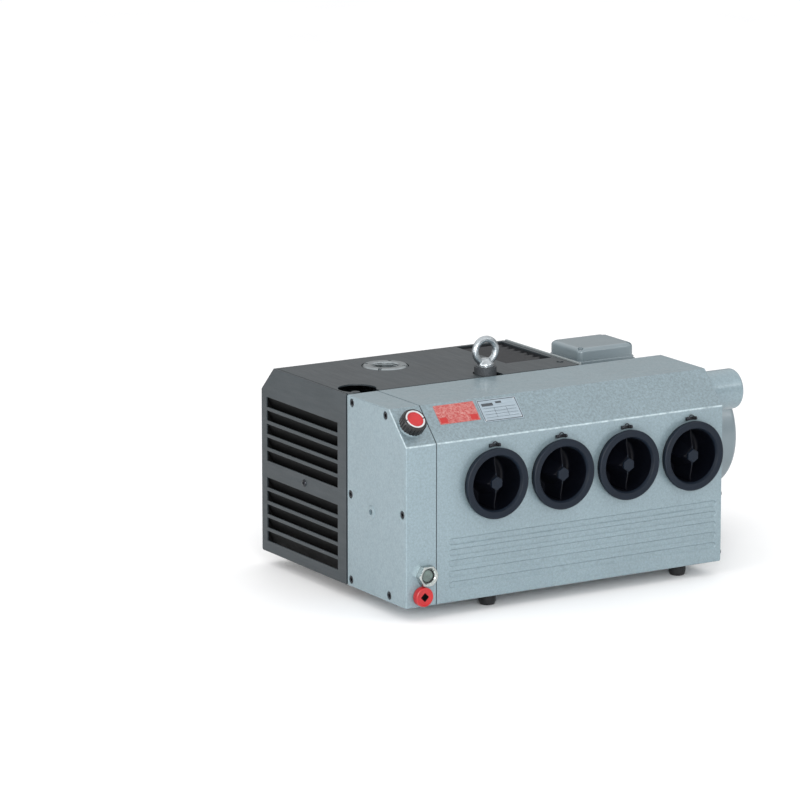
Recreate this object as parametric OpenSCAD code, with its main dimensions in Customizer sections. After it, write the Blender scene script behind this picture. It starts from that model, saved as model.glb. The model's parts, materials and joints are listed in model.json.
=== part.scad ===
// Oil-lubricated rotary vane vacuum pump: separator casing with four filter covers,
// vane pump under a louvred sound hood, and a flange-mounted electric motor.
// Millimetres. +Z is up, +X runs from the pump's fan end to the motor's fan end,
// and the filter covers face -Y. The origin lies on the floor, midway along and
// across the overall size.

/* [Separator casing] */
// Length of the grey casing
case_l = 540; // [536:1:560]
// Depth of the grey casing
case_d = 163; // [160:1:170]
// Height of the grey casing
case_h = 281; // [278:1:290]
// Size of the sloping edge along the top front
slope = 47; // [44:1:50]
// Wall of the castings
wall = 6; // [5:0.5:7]
// Width of the oil-service column at the left end
end_w = 50; // [48:1:54]
// Height of the rubber feet under the casing
foot_h = 20; // [16:1:25]

/* [Filter covers] */
// Number of exhaust filter covers
cover_count = 4; // [4]
// Place of the first cover along the casing
cover_x0 = 146; // [142:1:148]
// Distance from cover to cover
cover_pitch = 112.5; // [110:0.5:114]
// Height of the covers' axes above the casing's underside
cover_z = 167; // [165:1:168]
// Outside radius of a cover's rim
cover_r = 51.5; // [50:0.5:52]
// How far a rim stands out of the casing
cover_rise = 12; // [10:0.5:14]

/* [Sound hood] */
// Length of the hood over the pump
hood_l = 398; // [396:1:400]
// Overall depth, from the casing's front to the hood's back
hood_back = 411; // [409:1:416]
// Size of the sloping edge along the hood's top back
hood_slope = 37; // [30:1:40]
// Sheet thickness
sheet = 2; // [1.5:0.5:2]

/* [Pump] */
// Place of the shared shaft axis behind the casing's front
axis_y = 280; // [279:1:282]
// Height of the shared shaft axis above the casing's underside
axis_z = 130; // [129:1:132]
// Radius of the pump bore
bore_r = 62; // [61:0.5:63]
// Radius of the slotted rotor
rotor_r = 52; // [51:0.5:52]
// Length of the pump bore
bore_l = 150; // [145:1:152]
// Number of vanes
vane_count = 3; // [3]
// Thread core radius of the inlet and the exhaust port
port_r = 19.5; // [19:0.5:20]

/* [Motor] */
// Radius of the motor's fan cover
fan_cover_r = 89.5; // [88:0.5:91]
// Place of the fan cover's end
motor_end = 704; // [700:1:712]

/* [Hidden] */
$fn = 64;
e = 0.01;                         // overlap that keeps a cut clean
fine = 96;                        // facets of the round parts that show

side_rise = 2;                    // screw head on the hood's left panel
mid_x = (motor_end - side_rise) / 2;   // the overall size's middle, along the casing
mid_y = (hood_back - cover_rise) / 2;
front_h = case_h - slope;         // height of the upright front
gasket_t = 1;
body_x0 = end_w + gasket_t;       // where the main casing starts
plate_t = 8;                      // exhaust end plate

// Screws of the left end: [y, z]
end_screws = [[150, 271], [57, 270], [154, 136], [11, 135], [153, 10], [47, 10]];
screw_r = 3;
head_r = 5;
head_h = 6;

// Oil-service fittings
filler_x = 21;
glass = [32, 46];                 // x, z
drain = [25, 16.5];
drain_r = 10.4;

// Pump
ecc = bore_r - rotor_r - 0.1;     // the rotor sits this much above the bore's axis
bore_x0 = 100;
bore_x1 = bore_x0 + bore_l;
end_plate_t = 18;
shaft_r = 15;
inlet = [150, 307];               // x, y
tower_z = 262;                    // top of the inlet tower
chamber_z = 236;                  // floor of the check valve's chamber
duct = [130, 90, 118, 34];        // exhaust duct: x0, length, z0, height
eye = [248, 186];                 // x, y of the lifting boss
eye_z = 291;                      // top of the lifting boss

// Couplings and motor
jaw_x0 = 300;
jaw_x1 = 312;
flange_x = 375;                   // joint between coupling housing and motor
motor_x1 = 612;                   // fan end of the motor frame
motor_shaft_r = 12;
frame_r = 78;
box_x = [445, 545];               // terminal box
box_y = [237, 321];
box_z = [204, 262];
box_w = box_x[1] - box_x[0];
box_d = box_y[1] - box_y[0];
lid_h = 24;

// Feet
foot_r = 12.5;
foot_x = [156, 486];
foot_y = [33, 378];
rail_h = 20;

function casing_outline(t) = let(k = t * tan(22.5))
    [[t, t], [case_d - t, t], [case_d - t, case_h - t],
     [slope + k, case_h - t], [t, front_h - k]];

function hood_outline(t) = let(k = t * tan(22.5), y0 = case_d + 1)
    [[y0 + t, 0], [hood_back - t, 0], [hood_back - t, case_h - hood_slope - k],
     [hood_back - hood_slope - k, case_h - t], [y0 + t, case_h - t]];

function cover_x(k) = cover_x0 + (k - 1) * cover_pitch;

// ---- placing helpers ----

// moves the casing's lower front left corner to its place in the part's frame
module in_place() translate([-mid_x, -mid_y, foot_h]) children();

// local x, y, z become Y, Z, X
module along_x(x, y = 0, z = 0) translate([x, y, z]) rotate([90, 0, 90]) children();

// local z becomes +Y
module along_y(x, y, z) translate([x, y, z]) rotate([-90, 0, 0]) children();

// local x, y, z become X, up the slope, out of the slope
module on_slope(x = 0, s = 0) translate([x, 0, front_h]) rotate([45, 0, 0])
    translate([0, s, 0]) children();

module on_shaft(x) along_x(x, axis_y, axis_z) children();

module tube(r_out, r_in, h) difference() {
    cylinder(r = r_out, h = h);
    translate([0, 0, -1]) cylinder(r = r_in, h = h + 2);
}

module ring(r, wire) rotate_extrude() translate([r, 0]) circle(r = wire, $fn = 24);

// a sector of a ring, centred on the local x axis
module sector(r_out, r_in, span, h) rotate([0, 0, -span / 2])
    rotate_extrude(angle = span) translate([r_in, 0]) square([r_out - r_in, h]);

// a box with rounded upright edges
module round_box(size, r) {
    translate([r, 0, 0]) cube([size[0] - 2 * r, size[1], size[2]]);
    translate([0, r, 0]) cube([size[0], size[1] - 2 * r, size[2]]);
    for (x = [r, size[0] - r], y = [r, size[1] - r])
        translate([x, y, 0]) cylinder(r = r, h = size[2], $fn = 32);
}

module slot_2d(l, h) {
    translate([h / 2, 0]) square([l - h, h]);
    for (x = [h / 2, l - h / 2]) translate([x, h / 2]) circle(d = h, $fn = 24);
}

// a socket-head screw along +z, head on top of z = 0
module cap_screw(shank) {
    difference() {
        translate([0, 0, -head_h]) cylinder(r = head_r, h = head_h, $fn = 32);
        translate([0, 0, -head_h - 1]) cylinder(r = 2.9, h = 4.5, $fn = 6);
    }
    cylinder(r = screw_r, h = shank, $fn = 24);
}

// ---- separator casing ----

module casing_shell(x0, x1) along_x(x0) linear_extrude(x1 - x0) difference() {
    polygon(casing_outline(0));
    polygon(casing_outline(wall));
}

// columns that take the end screws, cut back to the casing's outline
module screw_columns(x0, x1, inset = 0) along_x(x0) linear_extrude(x1 - x0)
    intersection() {
        polygon(casing_outline(inset));
        for (p = end_screws) translate(p) circle(r = 9, $fn = 32);
    }

flute_x = [73, 530];
flute_z = 22;
flute_pitch = 15.7;
flute_h = 7;
clip_z = cover_z + cover_r + 2.9; // pivot of a cover's wire clip
clip_y = -2.6;
wire_r = 0.9;
clip_leg = 1;                     // straight part of a wire clip under its arch
neck_r = cover_r - 3.1;           // a cover behind its rim
rim_t = 6;                        // thickness of a cover's rim
float_at = [110, 80, 40];         // pivot of the oil float

module cover_holes() for (k = [1:cover_count]) {
    along_y(cover_x(k), -1, cover_z) cylinder(r = 46.3, h = 40, $fn = fine);
    along_y(cover_x(k), -1, cover_z) cylinder(r = neck_r + 0.4, h = 3.4, $fn = fine);
}

module cover_collars() for (k = [1:cover_count]) {
    along_y(cover_x(k), wall - 1, cover_z) cylinder(r = 52, h = 25, $fn = fine);
    // spigot ring that centres the filter element on the back wall
    along_y(cover_x(k), case_d - wall - 9, cover_z) tube(31, 27, 10);
}

module separator_housing() color("#a2b2ba") in_place() difference() {
    union() {
        casing_shell(body_x0, case_l);
        screw_columns(body_x0, body_x0 + 26);
        cover_collars();
        // floor between the oil sump and the filter chamber, open at both ends
        translate([body_x0 + 30, wall - 1, 100])
            cube([case_l - body_x0 - 80, case_d - 2 * wall + 2, 4]);
        // ears for the float's pivot
        for (s = [-1, 1]) translate([float_at[0] - 6, float_at[1] + s * 9 - 2, wall - 1])
            cube([12, 4, 42]);
        // pads for the exhaust plate's screws
        plate_pads();
        for (x = foot_x) translate([x, foot_y[0], wall - 1])
            cylinder(r = 14, h = 15, $fn = 32);
    }
    cover_holes();
    for (i = [0:4]) translate([flute_x[0], 1.2, flute_z + i * flute_pitch])
        rotate([90, 0, 0]) linear_extrude(3) slot_2d(flute_x[1] - flute_x[0], flute_h);
    for (p = end_screws) along_x(body_x0 - 1, p[0], p[1])
        cylinder(r = screw_r + 0.05, h = 24, $fn = 24);
    for (p = plate_screws) along_x(case_l - 30, p[0], p[1])
        cylinder(r = screw_r + 0.05, h = 40, $fn = 24);
    translate([float_at[0], float_at[1] - 20, float_at[2]])
        rotate([-90, 0, 0]) cylinder(r = 2.08, h = 40, $fn = 24);
    // opening that lets the pump's exhaust in
    translate([duct[0], case_d - wall - 1, duct[2]]) cube([duct[1], wall + 2, duct[3]]);
    for (p = block_bolts) along_y(p[0], case_d - wall - 1, p[1])
        cylinder(r = 4.2, h = wall + 2, $fn = 24);
    // seat of the exhaust plate, let into the right end
    along_x(case_l - plate_t) linear_extrude(plate_t + 1) polygon(casing_outline(4));
    for (x = foot_x) translate([x, foot_y[0], -1])
        cylinder(r = 4.1, h = 16, $fn = 24);
}

plate_screws = [[150, 268], [50, 266], [152, 12], [12, 12], [12, 100], [152, 100]];

module plate_pads() along_x(case_l - 28) linear_extrude(28 - plate_t) intersection() {
    polygon(casing_outline(1));
    for (p = plate_screws) translate(p) circle(r = 9, $fn = 32);
}

module end_housing() color("#a2b2ba") in_place() difference() {
    union() {
        casing_shell(0, end_w);
        along_x(0) linear_extrude(wall) polygon(casing_outline(0));
        screw_columns(0, end_w);
        on_slope(filler_x, slope / sqrt(2)) translate([0, 0, -14])
            cylinder(r = 17, h = 17, $fn = fine);
        along_y(glass[0], wall - 1, glass[1]) cylinder(r = 14.5, h = 9);
        along_y(drain[0], wall - 1, drain[1]) cylinder(r = 13.5, h = 9);
        // blind boss in the middle of the end wall
        along_x(-1.5, 95, 122) cylinder(r = 9, h = 3, $fn = 32);
    }
    on_slope(filler_x, slope / sqrt(2)) translate([0, 0, -30])
        cylinder(r = 12, h = 40, $fn = fine);
    along_y(glass[0], -1, glass[1]) cylinder(r = 10.6, h = 30);
    along_y(drain[0], -1, drain[1]) cylinder(r = drain_r + 0.1, h = 30);
    for (p = end_screws) along_x(-1, p[0], p[1]) {
        cylinder(r = 6, h = head_h + 1.5, $fn = 32);
        cylinder(r = screw_r + 0.3, h = end_w + 2, $fn = 24);
    }
    along_x(-2, 95, 122) cylinder(r = 4, h = 5, $fn = 6);
}

module end_gasket() color("#20262a") in_place() along_x(end_w) linear_extrude(gasket_t)
    difference() {
        union() {
            difference() {
                polygon(casing_outline(0.8));
                polygon(casing_outline(wall));
            }
            intersection() {
                polygon(casing_outline(0.8));
                for (p = end_screws) translate(p) circle(r = 9, $fn = 32);
            }
        }
        for (p = end_screws) translate(p) circle(r = screw_r + 0.3, $fn = 24);
    }

block_bolts = [[112, 70], [238, 70], [112, 114], [238, 114]];

module housing_screws() color("#2b2e30") in_place() {
    for (p = end_screws) along_x(head_h + 0.5, p[0], p[1]) cap_screw(60);
    for (p = plate_screws) along_x(case_l, p[0], p[1]) rotate([180, 0, 0])
        cap_screw(plate_t + 18);
    // bolts from the separator into the pump's block
    for (p = block_bolts) along_y(p[0], case_d - wall - 7, p[1]) {
        cylinder(r = 7.5, h = 7, $fn = 6);
        cylinder(r = 4, h = 32, $fn = 24);
    }
}

exhaust = [80, 237];              // y, z of the exhaust tube
exhaust_r = 30;
exhaust_x1 = 615;

module exhaust_plate() color("#9aaab2") in_place() difference() {
    along_x(case_l - plate_t) linear_extrude(plate_t) polygon(casing_outline(4.2));
    along_x(case_l - plate_t - 1, exhaust[0], exhaust[1])
        cylinder(r = exhaust_r + 0.1, h = plate_t + 2, $fn = fine);
    for (p = plate_screws) along_x(case_l - plate_t - 1, p[0], p[1])
        cylinder(r = screw_r + 0.3, h = plate_t + 2, $fn = 24);
}

module exhaust_tube() color("#a8b8be") in_place()
    along_x(case_l - plate_t - 5, exhaust[0], exhaust[1])
    rotate_extrude($fn = fine) let(l = exhaust_x1 - case_l + plate_t + 5, m = 5) difference() {
        union() {
            square([exhaust_r + 2, 5]);
            square([exhaust_r, l - m]);
            square([exhaust_r - m, l]);
            translate([exhaust_r - m, l - m]) circle(r = m, $fn = 32);
        }
        translate([-1, -1]) square([17.5, l + 2]);
        translate([-1, l - 26]) square([port_r + 1, 30]);
    }

// ---- filter covers, elements, seals and clips ----

module filter_cover(k) color("#232b38") in_place() along_y(cover_x(k), 0, cover_z) {
    difference() {
        union() {
            rotate_extrude($fn = fine) difference() {
                union() {
                    translate([0, -cover_rise]) square([cover_r - 3, rim_t]);
                    translate([0, 3 - cover_rise]) square([cover_r, rim_t - 3]);
                    translate([0, 3 - cover_rise]) square([neck_r, cover_rise - 3.3]);
                    translate([cover_r - 3, 3 - cover_rise]) circle(r = 3, $fn = 32);
                }
                translate([-60, -20]) square([60, 40]);
            }
            translate([0, 0, -1]) cylinder(r = 46, h = 41, $fn = fine);
        }
        translate([0, 0, -cover_rise - 1]) cylinder(r = 41, h = cover_rise + 37, $fn = fine);
    }
    // grip web across the recess, with its hub and hexagon
    intersection() {
        cylinder(r = 42, h = 37, $fn = fine);
        translate([-2.5, -42, 0]) cube([5, 84, 37]);
    }
    translate([-2.5, -17, -5]) cube([5, 34, 6]);
    cylinder(r1 = 9, r2 = 20, h = 36);
    translate([0, 0, -9]) rotate([0, 0, 30]) cylinder(r = 9.8, h = 12, $fn = 6);
}

module filter_cover_1() filter_cover(1);
module filter_cover_2() filter_cover(2);
module filter_cover_3() filter_cover(3);
module filter_cover_4() filter_cover(4);

module filter_elements() color("#d8d2bd") in_place() for (k = [1:cover_count])
    along_y(cover_x(k), 0, cover_z) {
        translate([0, 0, 42]) tube(36, 24, 104);
        translate([0, 0, 41]) cylinder(r = 38, h = 3);
        translate([0, 0, 144]) tube(38, 22, 3);
        translate([0, 0, 146]) tube(26.5, 22, 10);
    }

module cover_seals() color("#101214") in_place() for (k = [1:cover_count])
    along_y(cover_x(k), 1, cover_z) ring(47.5, 1);

// one pressed bracket above each cover: a strip on the casing and two drilled ears
module clip_brackets() color("#8d9499") in_place() for (k = [1:cover_count])
    translate([cover_x(k), 0, clip_z]) difference() {
        union() {
            translate([-9, -0.8, -2.4]) cube([18, 0.8, 4.8]);
            for (s = [-1, 1]) translate([s * 7.6 - 1.4, clip_y - 2.4, -2.4])
                cube([2.8, 2.4 - clip_y, 4.8]);
        }
        translate([-12, clip_y, 0]) rotate([0, 90, 0])
            cylinder(r = wire_r + 0.08, h = 24, $fn = 24);
    }

// wire bail: two feet in the ears, two legs and an arch
module cover_clip(k) color("#8d9499") in_place() translate([cover_x(k), clip_y, clip_z]) {
    for (s = [-1, 1]) {
        translate([s * 4.2, 0, 0]) rotate([0, s * 90, 0]) cylinder(r = wire_r, h = 5.3, $fn = 24);
        translate([s * 4.2, 0, 0]) sphere(r = wire_r, $fn = 24);
        translate([s * 4.2, 0, 0]) cylinder(r = wire_r, h = clip_leg, $fn = 24);
    }
    translate([0, 0, clip_leg]) rotate([90, 0, 0]) rotate_extrude(angle = 180)
        translate([4.2, 0]) circle(r = wire_r, $fn = 24);
}

module cover_clip_1() cover_clip(1);
module cover_clip_2() cover_clip(2);
module cover_clip_3() cover_clip(3);
module cover_clip_4() cover_clip(4);

// ---- oil-service fittings ----

module at_filler() in_place() on_slope(filler_x, slope / sqrt(2)) children();

module filler_cap() color("#17191b") at_filler() difference() {
    union() {
        translate([0, 0, 4.5]) cylinder(r = 18, h = 15.5, $fn = fine);
        translate([0, 0, -11]) cylinder(r = 11.7, h = 16);
        // grip ribs
        for (a = [0:15:345]) rotate([0, 0, a]) translate([17, -1.2, 5.5]) cube([2, 2.4, 12]);
    }
    translate([0, 0, 18.8]) cylinder(r = 15.5, h = 3, $fn = fine);
    translate([0, 0, -12]) cylinder(r = 8.5, h = 20);
}

module filler_cap_disc() color("#d6262b") at_filler() translate([0, 0, 18.8])
    cylinder(r = 15.4, h = 1.5, $fn = fine);

module filler_seal() color("#101214") at_filler() translate([0, 0, 3]) tube(16.5, 12.1, 1.4);

module sight_glass() color("#c9ccca") in_place() along_y(glass[0], 0, glass[1])
    difference() {
        union() {
            translate([0, 0, -11]) cylinder(r = 16.2, h = 11, $fn = 6);
            cylinder(r = 10.4, h = 13);
        }
        translate([0, 0, -12]) cylinder(r1 = 12, r2 = 10, h = 4);
        translate([0, 0, -9]) cylinder(r = 10, h = 9);
        translate([0, 0, -1]) cylinder(r = 7.5, h = 20);
    }

module sight_lens() color("#7f948c") in_place() along_y(glass[0], -6, glass[1])
    cylinder(r = 9.95, h = 5.9);

module drain_plug() color("#d8362c") in_place() along_y(drain[0], 0, drain[1])
    difference() {
        union() {
            translate([0, 0, -10]) cylinder(r = 14.2, h = 8.4, $fn = fine);
            translate([0, 0, -11]) cylinder(r1 = 13.2, r2 = 14.2, h = 1, $fn = fine);
            translate([0, 0, -2]) cylinder(r = drain_r, h = 15);
        }
        translate([0, 0, -12]) cylinder(r = 6, h = 9, $fn = 4);
    }

module drain_seal() color("#9c3a2c") in_place() along_y(drain[0], -1.5, drain[1])
    tube(13.4, drain_r + 0.3, 1.4);

module oil_label() color("#e0483c") in_place() on_slope(70, 30) cube([67, 32, 0.4]);

module rating_plate() color("#c4ccd0") in_place() on_slope(141.5, 24) {
    cube([66, 37.5, 0.8]);
    for (x = [3.5, 62.5], y = [3.5, 34]) translate([x, y, 0.5])
        cylinder(r = 1.4, h = 0.9, $fn = 24);
}

// float arm with its pin through the two ears and a ball at the end
module oil_float() color("#c8b486") in_place() translate(float_at) {
    rotate([90, 0, 0]) translate([0, 0, -13]) cylinder(r = 2, h = 26, $fn = 24);
    rotate([0, 9, 0]) {
        translate([-4, -4, -2.5]) cube([62, 8, 5]);
        translate([72, 0, 0]) sphere(r = 17);
    }
}

// ---- pump ----

module pump_cylinder() color("#5a5f63") in_place() difference() {
    union() {
        along_x(bore_x0, axis_y, axis_z - ecc) cylinder(r = 80, h = bore_l, $fn = fine);
        for (x = [bore_x0 + 12:18:bore_x1 - 15]) along_x(x, axis_y, axis_z - ecc)
            cylinder(r = 86, h = 4, $fn = fine);
        // block that carries the separator
        translate([bore_x0 + 4, case_d, 58]) cube([bore_l - 8, 70, 104]);
        // inlet tower and lifting boss
        translate([inlet[0], inlet[1], 160]) cylinder(r = 36, h = tower_z - 160);
        translate([eye[0], eye[1], 166]) cylinder(r = 16.5, h = eye_z - 166);
        translate([eye[0] - 16, eye[1], 140]) cube([14, 60, 40]);
        // foot on the rail
        translate([bore_x0 + 15, 330, rail_h]) cube([bore_l - 30, 62, 16]);
        translate([bore_x0 + 15, 330, rail_h]) cube([bore_l - 30, 20, 66]);
    }
    along_x(bore_x0 - 1, axis_y, axis_z - ecc) cylinder(r = bore_r, h = bore_l + 2, $fn = fine);
    translate([inlet[0], inlet[1], chamber_z]) cylinder(r = 26, h = 40);
    translate([inlet[0], inlet[1], 150]) cylinder(r = 15, h = 100);
    translate([duct[0], case_d - 1, duct[2]]) cube([duct[1], 38, duct[3]]);
    for (x = exhaust_ports()) along_y(x, 190, duct[2] + duct[3] / 2)
        cylinder(r = 9, h = 40, $fn = 32);
    translate([eye[0], eye[1], eye_z - 20]) cylinder(r = 5.02, h = 30, $fn = 32);
    for (p = block_bolts) along_y(p[0], case_d - 1, p[1])
        cylinder(r = 4.05, h = 30, $fn = 24);
}

function exhaust_ports() = [for (i = [0:2]) duct[0] + 15 + i * 30];

// reed leaves over the exhaust ports, with their stops
module exhaust_valve() color("#9aa0a4") in_place() for (x = exhaust_ports())
    along_y(x, case_d + 36.9, duct[2] + 3) {
        translate([-11, -29, -0.6]) cube([22, 28, 0.6]);
        translate([-8, -27, -2.8]) cube([16, 25, 2]);
        translate([0, -4, -5]) cylinder(r = 3.5, h = 3, $fn = 6);
    }

// an end plate, with its shaft seal's seat starting at seat_x
module end_plate(x, seat_x) difference() {
    on_shaft(x) cylinder(r = 84, h = end_plate_t, $fn = fine);
    on_shaft(x - 1) cylinder(r = 20, h = end_plate_t + 2);
    on_shaft(seat_x) cylinder(r = 24, h = 8);
}

module pump_end_plates() color("#53585c") in_place() {
    end_plate(bore_x0 - end_plate_t, bore_x0 - end_plate_t - 1);
    end_plate(bore_x1, bore_x1 + end_plate_t - 7);
}

// plain bushes of the pump rotor and ball bearings of the motor rotor
module shaft_bearings() color("#b08a4a") in_place() {
    for (x = [bore_x0 - 11, bore_x1]) on_shaft(x) tube(19.98, shaft_r + 0.04, 11);
    for (x = [flange_x + 2, motor_x1 - 15.5]) on_shaft(x) tube(26, motor_shaft_r + 0.04, 15);
}

module shaft_seals() color("#15171a") in_place()
    for (x = [bore_x0 - end_plate_t, bore_x1 + 11]) on_shaft(x) tube(23.95, shaft_r + 0.06, 6.8);

vane_t = 5.8;
vane_h = 31.5;
rotor_gap = 0.15;                 // between the rotor's ends and the end plates

module pump_rotor() color("#8c9195") in_place() {
    difference() {
        on_shaft(bore_x0 + rotor_gap) cylinder(r = rotor_r, h = bore_l - 2 * rotor_gap, $fn = fine);
        for (k = [1:vane_count]) at_vane(k) translate([-1, -vane_t / 2 - 0.06, rotor_r - 33])
            cube([bore_l + 2, vane_t + 0.12, 40]);
    }
    on_shaft(36) cylinder(r = shaft_r, h = jaw_x0 - 36 - 1);
}

// the slot k's frame: X along the rotor, Z out of the slot
module at_vane(k) translate([bore_x0, axis_y, axis_z])
    rotate([60 + 120 * (k - 1), 0, 0]) children();

module vane(k) color("#3c3a38") in_place() at_vane(k)
    translate([0.3, -vane_t / 2, rotor_r - 0.2 - vane_h]) cube([bore_l - 0.6, vane_t, vane_h]);

module vane_1() vane(1);
module vane_2() vane(2);
module vane_3() vane(3);

module cooling_fan() color("#2a2d30") in_place() on_shaft(40) {
    tube(26, shaft_r, 30);
    for (a = [0:45:315]) rotate([0, 0, a]) translate([24, 0, 15]) rotate([35, 0, 0])
        translate([0, -14, -1]) cube([68, 28, 2]);
}

// ---- coupling ----

jaw_r = 31;

module jaws(a0) for (a = [0:120:240]) rotate([0, 0, a + a0])
    sector(jaw_r - 0.5, 14, 38, jaw_x1 - jaw_x0);

module coupling_pump_half() color("#4c5155") in_place() {
    difference() {
        on_shaft(276) cylinder(r = jaw_r, h = jaw_x0 - 276);
        on_shaft(275) cylinder(r = shaft_r, h = jaw_x0 - 276);
    }
    on_shaft(jaw_x0 - 0.5) jaws(0);
}

module coupling_motor_half() color("#4c5155") in_place() {
    on_shaft(jaw_x1) tube(jaw_r, motor_shaft_r, 24);
    on_shaft(jaw_x0 + 0.5) jaws(60);
}

module coupling_spider() color("#c8542c") in_place() on_shaft(jaw_x0 + 0.5) {
    tube(13.5, 8, 11);
    for (a = [30:60:330]) rotate([0, 0, a]) sector(jaw_r - 1, 12, 18, 11);
}

module coupling_housing() color("#8f9ca3") in_place() difference() {
    union() {
        on_shaft(bore_x1 + end_plate_t) cylinder(r = 92, h = 8, $fn = fine);
        on_shaft(bore_x1 + end_plate_t) cylinder(r = 86, h = flange_x - bore_x1 - 18, $fn = fine);
        on_shaft(flange_x - 12) cylinder(r = 100, h = 12, $fn = fine);
    }
    on_shaft(bore_x1 + end_plate_t - 1) cylinder(r = 50, h = 20);
    on_shaft(bore_x1 + end_plate_t + 8) cylinder(r = 78, h = 200, $fn = fine);
    // hand holes to reach the coupling
    translate([295, axis_y - 30, axis_z + 40]) cube([50, 60, 60]);
    translate([295, axis_y - 30, axis_z - 100]) cube([50, 60, 60]);
}

// ---- inlet ----

screen_r = 20.4;

module at_inlet(z) in_place() translate([inlet[0], inlet[1], z]) children();

module inlet_flange() color("#c3c8c8") at_inlet(tower_z) difference() {
    rotate_extrude($fn = fine) polygon([[0, 0], [33.5, 0], [33.5, 18.5], [31.5, 20.5], [0, 20.5]]);
    translate([0, 0, -1]) cylinder(r = 17, h = 30);
    translate([0, 0, -1]) cylinder(r = screen_r + 0.1, h = 2.3);
    translate([0, 0, 2.5]) cylinder(r = port_r, h = 30, $fn = fine);
    translate([0, 0, 19]) cylinder(r1 = port_r, r2 = port_r + 2, h = 2, $fn = fine);
    // spanner slots
    for (a = [45:90:315]) rotate([0, 0, a]) translate([26, -2.5, 17]) cube([10, 5, 6]);
}

module inlet_screen() color("#8a8f92") at_inlet(tower_z + 0.2) difference() {
    cylinder(r = screen_r, h = 1);
    for (r = [6.5, 13], a = [0:360 / (r < 10 ? 6 : 12):359]) rotate([0, 0, a])
        translate([r, 0, -1]) cylinder(r = 2.4, h = 3, $fn = 16);
    translate([0, 0, -1]) cylinder(r = 2.4, h = 3, $fn = 16);
}

valve_disc_z = tower_z - 4.3;

module check_valve_disc() color("#4a4340") at_inlet(valve_disc_z) {
    cylinder(r = 22, h = 4);
    translate([0, 0, -2]) cylinder(r = 8, h = 2.5);
}

spring_turns = 5;
spring_r = 18.5;
spring_wire = 1;
spring_sides = 6;
spring_steps = 18;                // rings in one turn

function spring_ring(i) = let(a = 360 * i / spring_steps,
        rise = (valve_disc_z - chamber_z - 2 * spring_wire - 0.1) * i / (spring_turns * spring_steps))
    [for (j = [0:spring_sides - 1]) let(b = 360 * j / spring_sides,
        r = spring_r + spring_wire * cos(b))
        [r * cos(a), r * sin(a), rise + spring_wire * (1 + sin(b))]];

module check_valve_spring() color("#b9bdbf") at_inlet(chamber_z) {
    n = spring_turns * spring_steps;
    m = spring_sides;
    polyhedron(points = [for (i = [0:n]) each spring_ring(i)],
        faces = concat([[for (j = [0:m - 1]) j]],
            [for (i = [0:n - 1], j = [0:m - 1]) let(p = i * m + j, q = i * m + (j + 1) % m)
                [p, p + m, q + m, q]],
            [[for (j = [m - 1:-1:0]) n * m + j]]));
}

// ---- motor ----

module motor_frame() color("#93a2a8") in_place() difference() {
    union() {
        on_shaft(flange_x) cylinder(r = frame_r, h = motor_x1 - flange_x, $fn = fine);
        on_shaft(flange_x) cylinder(r = 100, h = 11, $fn = fine);
        // cooling fins
        for (a = [0:12:348]) if (a < 66 || a > 114) on_shaft(flange_x + 20)
            rotate([0, 0, a]) translate([frame_r - 1, -1.3, 0]) cube([9, 2.6, 215]);
        // seat of the terminal box
        translate([box_x[0] + 8, box_y[0] + 8, axis_z + 60])
            cube([box_x[1] - box_x[0] - 16, box_y[1] - box_y[0] - 16, box_z[0] - axis_z - 60]);
        // foot on the rail
        translate([455, 330, rail_h]) cube([55, 62, 14]);
        translate([455, 325, rail_h]) cube([55, 16, 70]);
    }
    on_shaft(flange_x + 20) cylinder(r = frame_r - 6, h = motor_x1 - flange_x - 35, $fn = fine);
    on_shaft(flange_x - 1) cylinder(r = 26.02, h = 30);
    on_shaft(motor_x1 - 16) cylinder(r = 26.02, h = 30);
    for (a = [45:90:315]) on_shaft(flange_x - 1) rotate([0, 0, a]) translate([90, 0, 0])
        cylinder(r = 5, h = 14, $fn = 24);
    // flat seat of the terminal box
    translate([box_x[0] - 1, box_y[0] - 1, box_z[0]]) cube([box_w + 2, box_d + 2, 30]);
}

module motor_stator() color("#7d6a4f") in_place() {
    on_shaft(425) tube(frame_r - 6.02, 43, 130);
    on_shaft(405) tube(66, 48, 19.9);
    on_shaft(555.1) tube(66, 48, 19.9);
}

module motor_rotor() color("#a5a9ab") in_place() {
    on_shaft(jaw_x1 + 0.5) cylinder(r = motor_shaft_r, h = 350);
    on_shaft(425) cylinder(r = 42.4, h = 130, $fn = fine);
}

module motor_fan() color("#2a2d30") in_place() on_shaft(622) {
    tube(20, motor_shaft_r, 34);
    tube(66, 19, 2.5);
    for (a = [0:45:315]) rotate([0, 0, a]) translate([18, -1, 0]) cube([50, 2, 32]);
}

module fan_cover() color("#a8b6bb") in_place() difference() {
    on_shaft(598) rotate_extrude($fn = fine) let(l = motor_end - 598, m = 9, t = 1.5)
        difference() {
            union() {
                square([fan_cover_r, l - m]);
                square([fan_cover_r - m, l]);
                translate([fan_cover_r - m, l - m]) circle(r = m, $fn = 48);
            }
            translate([-1, -1]) square([fan_cover_r - t + 1, l - m + 1]);
            translate([-1, -1]) square([fan_cover_r - m + 1, l - t + 1]);
            translate([fan_cover_r - m, l - m]) circle(r = m - t, $fn = 48);
        }
    for (r = [14:11:69], a = [0:45:315]) on_shaft(motor_end - 4) rotate([0, 0, a + 22.5])
        sector(r + 5.5, r, 45 - 260 / r, 6);
}

module box_at(x, y, z) in_place() translate([box_x[0] + x, box_y[0] + y, z]) children();

gland_z = box_z[0] + 36;

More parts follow.
